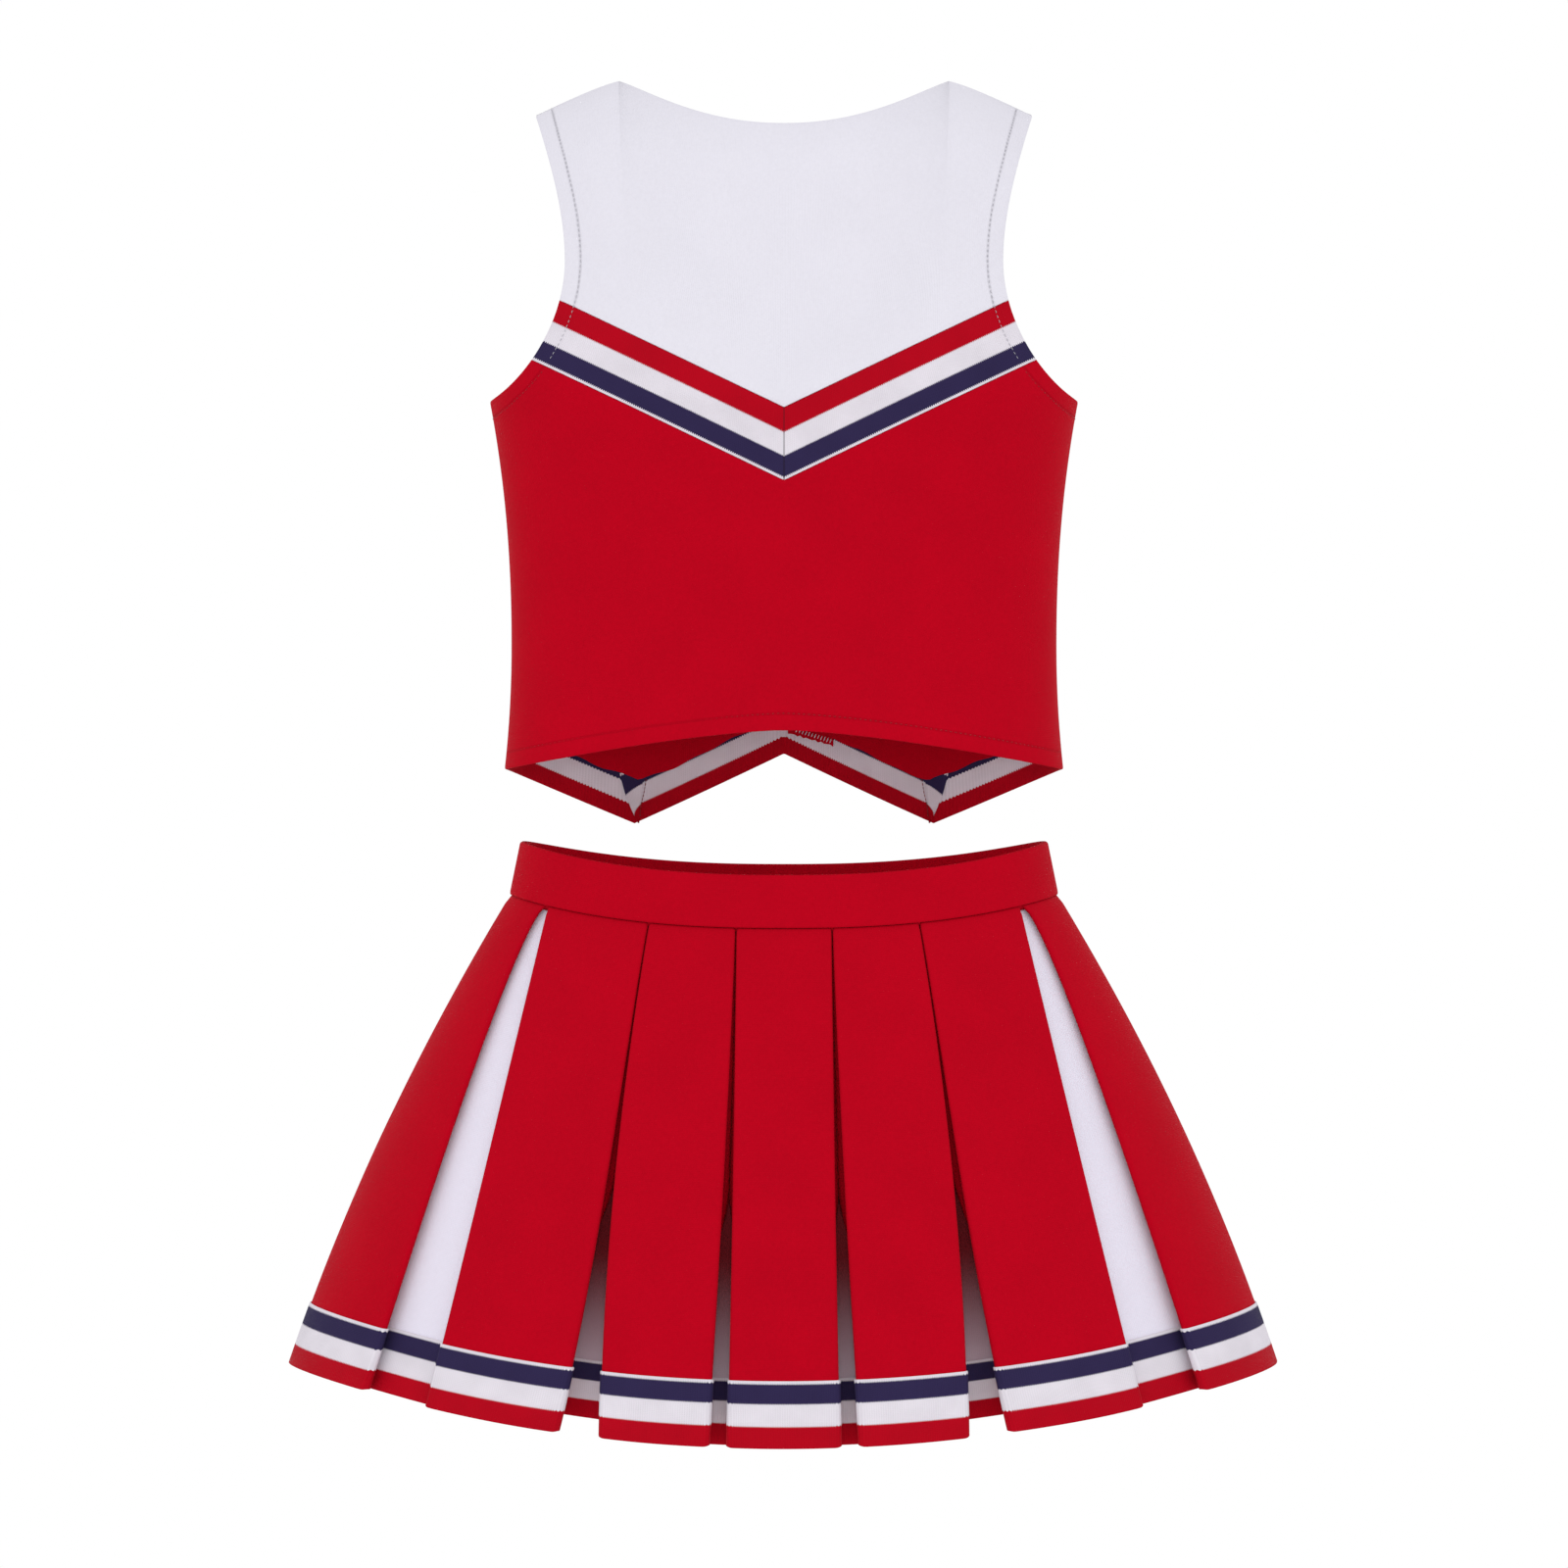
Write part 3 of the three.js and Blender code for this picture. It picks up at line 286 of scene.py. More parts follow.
def skirt_slot_half(z):
    shut = smoothstep(SKIRT_ZIP_TOP - ZIP_LENGTH - z, 0, ZIP_TAPER)
    return lerp(ZIP_SLOT, -SEAM_LAP, shut) / 2


def side_edges(side, rise):
    drop = 1 - rise
    level = lerp(HEM_SIDE_RISE, seam_level(QUARTER), rise)
    half = -SEAM_LAP / 2 if side > 0 else skirt_slot_half(level)
    offset = short_of_side(half, skirt_deep(drop), skirt_round(drop))
    middle = QUARTER if side > 0 else 3 * QUARTER
    return [middle - offset, middle + offset]


def gaps_round():
    """Every gap round the skirt, anticlockwise from the middle back: (pleat or None, edges)."""

    def turned(pleat, turn, flip):
        def edges(rise):
            start, end = (turn(angle) for angle in gap_edges(pleat, rise))
            return [end, start] if flip else [start, end]

        return pleat, edges

    gaps = [turned(p, lambda a: a, False) for p in PLEATS]
    gaps.append((None, lambda rise: side_edges(1, rise)))
    gaps += [turned(p, lambda a: math.pi - a, True) for p in reversed(PLEATS)]
    gaps += [turned(p, lambda a: math.pi + a, False) for p in PLEATS]
    gaps.append((None, lambda rise: side_edges(-1, rise)))
    gaps += [turned(p, lambda a: 2 * math.pi - a, True) for p in reversed(PLEATS)]
    return gaps


GAPS = gaps_round()


def fold_depth(pleat, rise):
    return lerp(pleat["deep"], FOLD_DEEP_SEAM, rise)


def underlay(rise):
    return lerp(UNDERLAY_HEM, UNDERLAY_SEAM, rise)


# ---------------------------------------------------------------- top surfaces

BAND_TOP_SIDE = float(seam_level(QUARTER)) + BAND_HEIGHT
HEM_Z = BAND_TOP_SIDE + GARMENT_GAP
WAIST_Z = HEM_Z + WAIST_RISE
UNDERARM_Z = HEM_Z + UNDERARM_RISE
NECK_Z = HEM_Z + NECK_RISE
SHOULDER_SLOPE = SHOULDER_DROP / (SHOULDER_HALF - NECK_HALF)
BRAID_RISE = BRAID_WIDTH * math.hypot(1, CHEVRON_SLOPE)
CHEVRON_Z = HEM_Z + CHEVRON_RISE
ARMHOLE_Z = HEM_Z + ARMHOLE_RISE
TOP_ZIP_LOW = HEM_Z + TOP_ZIP_RISE


def torso_size(z, hem, waist, chest):
    low = lerp(waist, hem, (np.maximum(WAIST_Z - z, 0) / WAIST_RISE) ** WAIST_TO_HEM_CURVE)
    rise = np.clip((z - WAIST_Z) / (UNDERARM_RISE - WAIST_RISE), 0, 1)
    return np.where(z < WAIST_Z, low, lerp(waist, chest, rise**WAIST_TO_CHEST_CURVE))


def torso_half(z):
    return torso_size(z, TOP_HEM_HALF, WAIST_HALF, CHEST_HALF)


def torso_deep(z):
    return torso_size(z, TOP_HEM_DEEP, WAIST_DEEP, CHEST_DEEP)


def torso_surface(angle, z):
    return section_point(angle, torso_half(z), torso_deep(z), TORSO_ROUND, z)


def on_torso(angle, z, inward):
    return sunk(torso_surface, angle, z, inward)


def torso_angle(x, z):
    return angle_across(x, torso_half(z), TORSO_ROUND)


def face_angle(face, angle):
    return angle if face == BACK else math.pi - angle


def on_face(face, x, z, inward):
    """A point of the torso's back or front at x across and z up."""
    return on_torso(face_angle(face, torso_angle(x, z)), z, inward)


def shoulder_level(x):
    past = np.abs(x) - NECK_HALF
    return NECK_Z + SHOULDER_SLOPE * (NECK_BLEND - past - np.hypot(past, NECK_BLEND)) / 2


def roll_turn(x, z):
    drop = np.maximum(0, shoulder_level(x) - z) / SHOULDER_ROLL
    return np.where(drop < 1, np.arccos(1 - np.minimum(drop, 1)), QUARTER + drop - 1)


def yoke_surface(face):
    def surface(x, turn):
        steep = np.abs(turn)
        rolled = np.where(steep < QUARTER, 1 - np.cos(np.minimum(steep, QUARTER)), 1 + steep - QUARTER)
        z = shoulder_level(x) - SHOULDER_ROLL * rolled
        room = (1 - (np.abs(x) / CHEST_HALF) ** TORSO_ROUND) ** (1 / TORSO_ROUND)
        out = np.sign(turn) * np.sin(np.minimum(steep, QUARTER))
        return stacked(x, face * torso_deep(z) * room * out, z)

    return surface


def on_yoke(face, x, turn, inward):
    surface = yoke_surface(face)
    return sunk(lambda u, v: surface(face * -u, -v), -face * x, -turn, inward)


ARMHOLE_LOWER = (
    (CHEST_HALF, UNDERARM_Z),
    (lerp(ARMHOLE_HALF, CHEST_HALF, UNDERARM_REACH), UNDERARM_Z + UNDERARM_LIFT),
    (ARMHOLE_HALF, ARMHOLE_Z - HOLD_BELOW),
    (ARMHOLE_HALF, ARMHOLE_Z),
)
ARMHOLE_UPPER = (
    (ARMHOLE_HALF, ARMHOLE_Z),
    (ARMHOLE_HALF, ARMHOLE_Z + HOLD_ABOVE),
    (lerp(ARMHOLE_HALF, SHOULDER_HALF, 0.5), NECK_Z - SHOULDER_DROP - HOLD_ABOVE),
    (SHOULDER_HALF, NECK_Z - SHOULDER_DROP),
)


def halved(test, shape):
    """Where test(share) turns false between 0 and 1, for arrays."""
    low, high = np.zeros(shape), np.ones(shape)
    for _ in range(40):
        middle = (low + high) / 2
        passed = test(middle)
        low, high = np.where(passed, middle, low), np.where(passed, high, middle)
    return low


def armhole_crossing(line_z):
    line_z = np.asarray(line_z, float)

    def below(share):
        point = bezier(ARMHOLE_LOWER, share)
        return point[..., 1] < line_z + CHEVRON_SLOPE * point[..., 0]

    return halved(below, line_z.shape)


def armhole_climb(start):
    lower_share = 0.4

    def point_at(share):
        lower = bezier(ARMHOLE_LOWER, lerp(start, 1, np.minimum(share / lower_share, 1)))
        upper = bezier(ARMHOLE_UPPER, np.maximum(share - lower_share, 0) / (1 - lower_share))
        point = np.where((share < lower_share)[..., None], lower, upper)
        return stacked(point[..., 0], roll_turn(point[..., 0], point[..., 1]))

    first = point_at(np.zeros(1))[0, 1]

    def climb(share):
        share = np.asarray(share, float)
        found = halved(lambda t: point_at(t)[..., 1] > first * (1 - share), share.shape)
        point = point_at(found)
        end = stacked(np.full(share.shape, SHOULDER_HALF), np.zeros(share.shape))
        return np.where((share >= 1)[..., None], end, point)

    return climb


def patch(bottom, top, left, right):
    """A filling between four edges: straight from bottom to top, bent near the sides."""

    def fill(u, v):
        side = np.where(u < 0.5, 0.0, 1.0)
        edge = np.where((u < 0.5)[..., None], left(v), right(v))
        v = v[..., None]
        bend = edge - lerp(bottom(side), top(side), v)
        return lerp(bottom(u), top(u), v) + (np.abs(2 * u - 1) ** SIDE_BEND)[..., None] * bend

    return fill


def top_slot_half(z):
    past = np.maximum(TOP_ZIP_LOW - z, z - TOP_ZIP_LOW - ZIP_LENGTH)
    return lerp(ZIP_SLOT, -SEAM_LAP, smoothstep(past, 0, ZIP_TAPER)) / 2


def side_seam_angle(side, z):
    half = -SEAM_LAP / 2 if side > 0 else top_slot_half(z)
    return side * (QUARTER - short_of_side(half, torso_deep(z), TORSO_ROUND))


def back_hem(x):
    return HEM_Z + BACK_HEM_RISE * (1 - np.minimum(np.abs(x) / TOP_HEM_HALF, 1) ** BACK_HEM_CURVE)


def front_hem(x):
    point = HEM_Z - FRONT_HEM_DROP
    out = np.abs(x)
    outer = lerp(point, HEM_Z, (out - FRONT_POINT_X) / (TOP_HEM_HALF - FRONT_POINT_X))
    return np.where(out > FRONT_POINT_X, outer, lerp(HEM_Z + FRONT_HEM_CENTRE, point, out / FRONT_POINT_X))


# ---------------------------------------------------------------- cloth meshes


def sway(points):
    """How far hanging cloth stands out from its pattern, in slow, shallow waves."""
    x, y, z = (points[..., k] for k in range(3))
    slow = np.sin(x / 31 + y / 23 + 1.7) * np.sin(z / 47 + x / 90 + 0.4)
    quick = np.sin(x / 13 + z / 37 + 2.1) * np.sin(z / 29 - y / 17 + 1.3)
    return 0.35 * slow + 0.12 * quick


def rounded_steps(length, pitch, radius, turns=3):
    """Shares along a length, with the rounded rims' steps close together at both ends."""
    rim = [radius * (1 - math.cos(QUARTER * k / turns)) for k in range(turns + 1)]
    inner = np.linspace(rim[-1], length - rim[-1], max(2, int(round(length / pitch)) + 1))
    steps = np.concatenate([rim[:-1], inner, [length - r for r in reversed(rim[:-1])]])
    return steps / length


def rim_inset(u, v, width, height, thickness):
    """How far a ply's faces draw together near its edges."""
    radius = thickness / 2
    near = np.minimum(np.minimum(u, 1 - u) * width, np.minimum(v, 1 - v) * height)
    near = np.clip(near, 0, radius)
    return radius - np.sqrt(np.maximum(radius**2 - (radius - near) ** 2, 0))


def ply_faces(rows, columns):
    """Quads of a closed ply whose two layers share their border points."""
    outer = np.arange(rows * columns).reshape(rows, columns)
    inner = outer.copy()
    within = inner[1:-1, 1:-1]
    within[:] = rows * columns + np.arange(within.size).reshape(within.shape)

    def quads(index, flip):
        corners = [index[:-1, :-1], index[:-1, 1:], index[1:, 1:], index[1:, :-1]]
        if flip:
            corners.reverse()
        return np.stack(corners, axis=-1).reshape(-1, 4)

    return np.concatenate([quads(outer, False), quads(inner, True)])


def closed_ply(outer, inner, coords):
    """Points, quads and cloth coordinates of a ply between two grids with a shared border."""
    def both(whole, within):
        parts = (whole, within[1:-1, 1:-1])
        return np.concatenate([part.reshape(-1, whole.shape[-1]) for part in parts])

    return both(outer, inner), ply_faces(*outer.shape[:2]), both(coords, coords)


def joined(parts):
    """Several (points, faces, coords) as one."""
    points, faces, coords, start = [], [], [], 0
    for part_points, part_faces, part_coords in parts:
        points.append(part_points)
        faces.append(part_faces + start)
        coords.append(part_coords)
        start += len(part_points)
    return np.concatenate(points), np.concatenate(faces), np.concatenate(coords)


def area_of(points, faces):
    corners = points[faces]
    crossed = np.cross(corners[:, 2] - corners[:, 0], corners[:, 3] - corners[:, 1])
    return float(np.linalg.norm(crossed, axis=1).sum() / 2)


def add_object(name, data, where=(0, 0, 0)):
    made = bpy.data.objects.new(name, data)
    made.location = where
    bpy.context.scene.collection.objects.link(made)
    return made


def place(name, mesh_data, finish, body, slot, stands_for=()):
    """Adds a piece to the uniform, with its cloth coordinates in millimetres."""
    points, faces, coords = mesh_data
    mesh = bpy.data.meshes.new(name)
    mesh.from_pydata((points * MM).tolist(), [], faces.tolist())
    loops = np.empty(len(mesh.loops), int)
    mesh.loops.foreach_get("vertex_index", loops)
    weave = mesh.uv_layers.new(name="weave")
    weave.data.foreach_set("uv", coords[loops, :2].astype(np.float32).ravel())
    if coords.shape[1] > 2:
        sewn = mesh.attributes.new("sewn", "FLOAT", "POINT")
        sewn.data.foreach_set("value", coords[:, 2].astype(np.float32))
    mesh.polygons.foreach_set("use_smooth", np.ones(len(mesh.polygons), bool))
    mesh.materials.append(finishes()[finish])
    mesh.validate()
    piece = add_object(name, mesh)
    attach(piece, body)
    if stands_for:
        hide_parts(*stands_for)
    return piece


def declare(mesh_data, long_side):
    """Works out the area of one face of a piece's cloth and keeps nothing; long_side is not used."""
    area = area_of(*mesh_data[:2]) / 2


# ---------------------------------------------------------------- finishes


class Field:
    """A number that varies over the cloth. Arithmetic on it adds Math nodes."""

    def __init__(self, finish, socket):
        self.finish, self.socket = finish, socket

    def math(self, operation, *others):
        inputs = {0: self.socket}
        inputs.update({k + 1: getattr(other, "socket", other) for k, other in enumerate(others)})
        return Field(self.finish, self.finish.node("Math", {"operation": operation}, inputs).outputs[0])

    def __add__(self, other):
        return self.math("ADD", other)

    def __sub__(self, other):
        return self.math("SUBTRACT", other)

    def __mul__(self, other):
        return self.math("MULTIPLY", other)

    def __truediv__(self, other):
        return self.math("DIVIDE", other)

    __radd__ = __add__
    __rmul__ = __mul__

    def __rsub__(self, other):
        return (self * -1) + other

    def sine(self):
        return self.math("SINE")

    def size(self):
        return self.math("ABSOLUTE")

    def part(self):
        return self.math("FRACT")

    def over(self, level):
        return self.math("GREATER_THAN", level)

    def eased(self, low, high):
        settings = {"interpolation_type": "SMOOTHSTEP"}
        values = {"Value": self.socket, "From Min": low, "From Max": high}
        return Field(self.finish, self.finish.node("MapRange", settings, values).outputs[0])


class Finish:
    """Builds one cloth's or metal's node material."""

    def __init__(self, name, **uniform):
        self.material = bpy.data.materials.new(name)
        self.material.use_nodes = True
        self.tree = self.material.node_tree
        self.shader = self.tree.nodes["Principled BSDF"]
        for socket, value in uniform.items():
            self.shader.inputs[socket.replace("_", " ")].default_value = value

    def node(self, kind, settings=None, inputs=None):
        made = self.tree.nodes.new("ShaderNode" + kind)
        for key, value in (settings or {}).items():
            setattr(made, key, value)
        for key, value in (inputs or {}).items():
            if isinstance(value, Field):
                value = value.socket
            if isinstance(value, bpy.types.NodeSocket):
                self.tree.links.new(value, made.inputs[key])
            else:
                made.inputs[key].default_value = value
        return made

    def weave(self):
        """Cloth coordinates in millimetres: across the cloth and up it."""
        coords = self.node("UVMap", {"uv_map": "weave"}).outputs[0]
        split = self.node("SeparateXYZ", None, {0: coords})
        return Field(self, split.outputs[0]), Field(self, split.outputs[1])

    def sewn(self):
        """Millimetres from the nearest sewn edge."""
        return Field(self, self.node("Attribute", {"attribute_name": "sewn"}).outputs["Fac"])

    def noise(self, scale, detail=2.0, stretch=(1, 1, 1)):
        place_of = self.node("TexCoord").outputs["Object"]
        scaled = self.node("VectorMath", {"operation": "MULTIPLY"}, {0: place_of, 1: stretch}).outputs[0]
        made = self.node("TexNoise", None, {"Vector": scaled, "Scale": scale, "Detail": detail})
        return Field(self, made.outputs[0])

    def mixed(self, share, first, second):
        made = self.node("Mix", {"data_type": "RGBA"}, {0: share, 6: first, 7: second})
        return made.outputs[2]

    def feed(self, **sources):
        for socket, source in sources.items():
            source = getattr(source, "socket", source)
            self.tree.links.new(source, self.shader.inputs[socket.replace("_", " ")])
        return self

    def relief(self, height, depth):
        """Bump of a height field that runs from 0 to 1 over a depth in millimetres."""
        made = self.node("Bump", None, {"Strength": 1.0, "Distance": depth * MM, "Height": height})
        return self.feed(Normal=made.outputs[0])


def shade(colour, factor):
    return [channel * factor for channel in colour[:3]] + [1.0]


def knit_finish(name, colour, mottle=0.07, depth=0.1, wale=1.1, seam_line=8.5, sheen=0.01, painted_shade=None):
    """Double-knit polyester: fine wales, a faint mottle and a pressed line where an edge is sewn, its groove
    darkened with painted shade.

    The last argument, if given, is painted shade: a dark red mixed over the cloth, faint at its hem and
    nearly whole from about 95 mm up, deep inside a pleat.
    """
    finish = Finish(name, Sheen_Weight=sheen, Sheen_Roughness=0.45, Specular_IOR_Level=0.04)
    across, up = finish.weave()
    rib = (across * (2 * math.pi / wale)).sine()
    course = (up * (2 * math.pi / (0.8 * wale)) + rib * 0.8).sine()
    fuzz = finish.noise(1400, 3.0)
    cloud = finish.noise(34, 3.0)
    fleck = finish.noise(520, 2.0)
    tone = (fleck - 0.5) * 0.9 + (cloud - 0.5) * 0.8 + course * 0.15 + 0.5
    base = finish.mixed(tone.eased(0, 1), shade(colour, 1 - mottle), shade(colour, 1 + mottle))
    # painted shade: the insert's colour darkens towards its top, standing in for the shade deep inside a
    # narrow pleat
    if painted_shade:
        base = finish.mixed(up.eased(-5, 95) * 0.86 + 0.12, base, painted_shade)
    knit = rib * 0.25 + course * 0.2 + fuzz * 0.9
    if seam_line:
        from_line = (finish.sewn() - seam_line).size()
        groove_and_painted_shade = 1 - from_line.eased(0, 1.1)
        doubled = 1 - finish.sewn().eased(seam_line - 0.5, seam_line + 1.5)
        knit = knit - groove_and_painted_shade * 3.2 + doubled * 1.6
        # painted shade: the pressed line's groove is darkened in colour as well as sunk in its bump
        base = finish.mixed(groove_and_painted_shade * 0.35, base, shade(colour, 0.62))
    finish.feed(Base_Color=base, Roughness=fuzz * 0.12 + 0.76)
    return finish.relief(knit, depth).material


def braid_finish(name, stripes, depth=0.14, pitch=1.15, mitre=False):
    """Ribbed braid: stripes across its width with toothed edges, and an upright rib along it.

    stripes are (upper edge in millimetres from the lower edge, colour), from the lower edge up.
    """
    finish = Finish(name, Sheen_Weight=0.01, Sheen_Roughness=0.4, Specular_IOR_Level=0.06)
    across, up = finish.weave()
    wave = (across * (2 * math.pi / pitch)).sine()
    toothed = up + wave * 0.34
    base = shade(stripes[0][1], 1)
    for (edge, _), (_, colour) in zip(stripes, stripes[1:]):
        base = finish.mixed(toothed.over(edge), base, shade(colour, 1))
    rows = (up * (2 * math.pi / 0.85) + wave).sine()
    fuzz = finish.noise(1600, 2.0)
    cloud = finish.noise(60, 2.0)
    dim = finish.mixed((cloud - 0.5) * 0.2 + (1 - wave) * 0.035 + 0.03, base, shade((0, 0, 0), 1))
    height = wave * 0.32 + rows * 0.2 + fuzz * 0.5
    for edge, _ in stripes[:-1]:
        height = height - (1 - (toothed - edge).size().eased(0, 0.5)) * 0.5
    if mitre:
        groove = 1 - across.eased(0.25, 0.7)
        # painted shade: the mitre seam's groove is darkened nearly to black, as well as sunk in its bump
        dim = finish.mixed(groove * 0.55, dim, shade((0.02, 0.01, 0.02), 1))
        height = height - groove * 2.5
    finish.feed(Base_Color=dim, Roughness=fuzz * 0.12 + 0.68)
    return finish.relief(height, depth).material


def thread_finish(name, colour):
    finish = Finish(name, Sheen_Weight=0.1, Specular_IOR_Level=0.3)
    along, around = finish.weave()
    twist = (along * 5.2 + around * 2.0).sine()
    base = finish.mixed(twist.eased(-1, 1), shade(colour, 0.8), shade(colour, 1.05))
    finish.feed(Base_Color=base, Roughness=twist * 0.05 + 0.62)
    return finish.relief(twist, 0.05).material


def tape_finish(name, colour):
    """Woven zip tape: a herringbone of fine ribs."""
    finish = Finish(name, Specular_IOR_Level=0.2)
    across, up = finish.weave()
    lean = ((across / 3).part() - 0.5).size() * 2
    twill = ((up + lean * 1.2) * (2 * math.pi / 0.9)).sine()
    fuzz = finish.noise(1500, 2.0)
    base = finish.mixed(twill.eased(-1, 1), shade(colour, 0.82), shade(colour, 1.06))
    finish.feed(Base_Color=base, Roughness=fuzz * 0.1 + 0.7)
    return finish.relief(twill * 0.4 + fuzz * 0.3, 0.08).material


def metal_finish(name, colour=(0.3, 0.29, 0.28)):
    """Nickel plate with a light brushing and rubbed edges."""
    finish = Finish(name, Metallic=1.0)
    brush = finish.noise(900, 3.0, (1, 1, 0.08))
    worn = finish.noise(260, 3.0)
    base = finish.mixed(worn.eased(0.35, 0.7), shade(colour, 0.86), shade(colour, 1.05))
    finish.feed(Base_Color=base, Roughness=brush * 0.22 + 0.2)
    return finish.relief(brush, 0.01).material


def satin_finish(name, colour):
    finish = Finish(name, Sheen_Weight=0.25, Specular_IOR_Level=0.4)
    across, up = finish.weave()
    floats = (up * (2 * math.pi / 0.35)).sine() * 0.5 + (across * (2 * math.pi / 0.9)).sine() * 0.3
    base = finish.mixed(floats.eased(-1, 1), shade(colour, 0.93), shade(colour, 1.02))
    finish.feed(Base_Color=base, Roughness=floats * 0.05 + 0.42)
    return finish.relief(floats, 0.03).material


def studio_finish(name, colour):
    finish = Finish(name, Specular_IOR_Level=0.1)
    grain = finish.noise(6, 2.0)
    base = finish.mixed(grain, shade(colour, 0.99), shade(colour, 1.0))
    return finish.feed(Base_Color=base, Roughness=grain * 0.05 + 0.9).material


def finishes():
    """Every finish of the uniform, made once and then found by name."""
    if "red double knit" not in bpy.data.materials:
        tint = bpy.context.scene.uniform_colours
        red, navy, white = tint.red, tint.navy, tint.braid_white
        knit_finish("red double knit", red)
        knit_finish("red skirt knit", red, seam_line=0)
        knit_finish("red band knit", red, seam_line=0)
        knit_finish("white yoke knit", tint.yoke, mottle=0.025, depth=0.09, seam_line=9.0, sheen=0.05)
        knit_finish("white insert knit", tint.insert, mottle=0.02, depth=0.09, seam_line=0, sheen=0.05)
        # the insert knit with painted shade, darker towards its top
        knit_finish(
            "insert knit with painted shade", tint.insert, mottle=0.02, depth=0.09, seam_line=0, painted_shade=shade(red, 0.42)
        )
        knit_finish("white facing knit", tint.facing, mottle=0.03, seam_line=0, sheen=0.05)
        chevron = [(1.5, white), (11.1, navy), (21.9, white), (BRAID_WIDTH, red)]
        braid_finish("chevron braid", chevron, mitre=True)
        braid_finish("hem braid", [(10.7, red), (21.7, white), (31.4, navy), (BRAID_WIDTH, white)])
        front_hem = [(9.2, red), (19.5, white), (29.5, navy), (31.0, white), (FRONT_BRAID_HEIGHT, red)]
        braid_finish("front hem braid", front_hem)
        thread_finish("red thread", shade(red, 0.8))
        thread_finish("dark red thread", shade(red, 0.42))
        thread_finish("white thread", tint.yoke)
        thread_finish("grey thread", shade(tint.yoke, 0.72))
        tape_finish("red zip tape", shade(red, 0.8))
        satin_finish("blank satin", tint.yoke)
        thread_finish("nylon coil", shade(red, 0.75))
        metal_finish("nickel")
    return bpy.data.materials


class UniformColours(bpy.types.PropertyGroup):
    """Colours of the uniform's cloth."""

    red: FloatVectorProperty(name="Red", description="Shell, skirt and red stripes", subtype="COLOR",
                             size=3, min=0, max=1, default=(0.435, 0.0, 0.0095))
    navy: FloatVectorProperty(name="Navy", description="Dark stripe of the braid", subtype="COLOR",
                              size=3, min=0, max=1, default=(0.027, 0.0194, 0.0685))
    braid_white: FloatVectorProperty(name="Braid white", description="White stripes of the braid",
                                     subtype="COLOR", size=3, min=0, max=1, default=(0.74, 0.70, 0.765))
    yoke: FloatVectorProperty(name="Yoke white", description="Cloth of the shell's yoke", subtype="COLOR",
                              size=3, min=0, max=1, default=(0.715, 0.70, 0.77))
    insert: FloatVectorProperty(name="Insert white", description="Cloth inside the pleats",
                                subtype="COLOR", size=3, min=0, max=1, default=(0.75, 0.72, 0.83))
    facing: FloatVectorProperty(name="Facing white", description="Thin cloth inside the openings",
                                subtype="COLOR", size=3, min=0, max=1, default=(0.78, 0.74, 0.78))


class UniformSewing(bpy.types.PropertyGroup):
    """Sizes of the uniform's sewing."""

    stitch: FloatProperty(name="Stitch", description="Length of a stitch with its space", unit="LENGTH",
                          default=0.0026, min=0.001, max=0.01)
    thread: FloatProperty(name="Thread", description="Thickness of the thread", unit="LENGTH",
                          default=0.00034, min=0.0001, max=0.002)
    knit: FloatProperty(name="Fineness", description="Spacing of the points that shape the cloth",
                        unit="LENGTH", default=0.0032, min=0.001, max=0.02)
    hem: FloatProperty(name="Turned hem", description="From the shell's hem to its line of stitches",
                       unit="LENGTH", default=0.0085, min=0.003, max=0.03)
    teeth: IntProperty(name="Coil turns", description="Turns of each zip's coil", default=72, min=10, max=300)


def sewing(name):
    """One of the sewing sizes, in millimetres."""
    return getattr(bpy.context.scene.uniform_sewing, name) / MM


# ---------------------------------------------------------------- skirt cloth


def edge_path(pleat, gap_width, rise):
    """The cloth's middle line past a panel's edge, one row per level: (beyond the edge, depth).

    At a pleat it folds back behind the panel and turns again onto the pleat's floor; at a side seam
    it turns inwards.
    """
    middle = CLOTH / 2
    rise = rise[:, None]
    turn = np.radians(np.linspace(90, -90 if pleat else 0, 8))[None, :]
    radius = lerp(pleat["fold"], 0.75, np.maximum(rise, 0) ** 0.7) if pleat else 0.9 + 0 * rise
    beyond = [-(radius + middle) + radius * np.cos(turn)]
    depth = [middle + radius - radius * np.sin(turn)]
    if not pleat:
        run = np.linspace(0.3, 1.5, 3)[None, :]
        beyond.append(-middle + 0 * run + 0 * rise)
        depth.append(middle + radius + run)
        return np.concatenate(beyond, axis=1), np.concatenate(depth, axis=1)
    under = underlay(rise)
    low = fold_depth(pleat, rise) - middle - 0.3
    corner = np.minimum(1.2, 0.45 * (low - middle - 2 * radius))
    start = (-(radius + middle), middle + 2 * radius)
    end = (-under, low - 2 * corner)
    share = np.linspace(0, 1, 8)[1:][None, :]
    reach = 0.5 * (start[0] - end[0])
    ease = (1 - share) ** 3, 3 * (1 - share) ** 2 * share, 3 * (1 - share) * share**2, share**3
    holds = start[0], start[0] - reach, end[0] + reach, end[0]
    beyond.append(sum(part * hold for part, hold in zip(ease, holds)))
    depth.append((ease[0] + ease[1]) * start[1] + (ease[2] + ease[3]) * end[1])
    turn = np.radians(np.linspace(90, -90, 7)[1:])[None, :]
    beyond.append(-under - corner * np.cos(turn))
    depth.append(low - corner - corner * np.sin(turn))
    covered = smoothstep(rise, *pleat["white"])
    tip = lerp(-under + 0.7, gap_width[:, None] / 2 + 0.4, covered)
    run = np.linspace(0, 1, 6)[1:][None, :]
    beyond.append(lerp(-under, tip, run))
    depth.append(low + 0 * run)
    return np.concatenate(beyond, axis=1), np.concatenate(depth, axis=1)


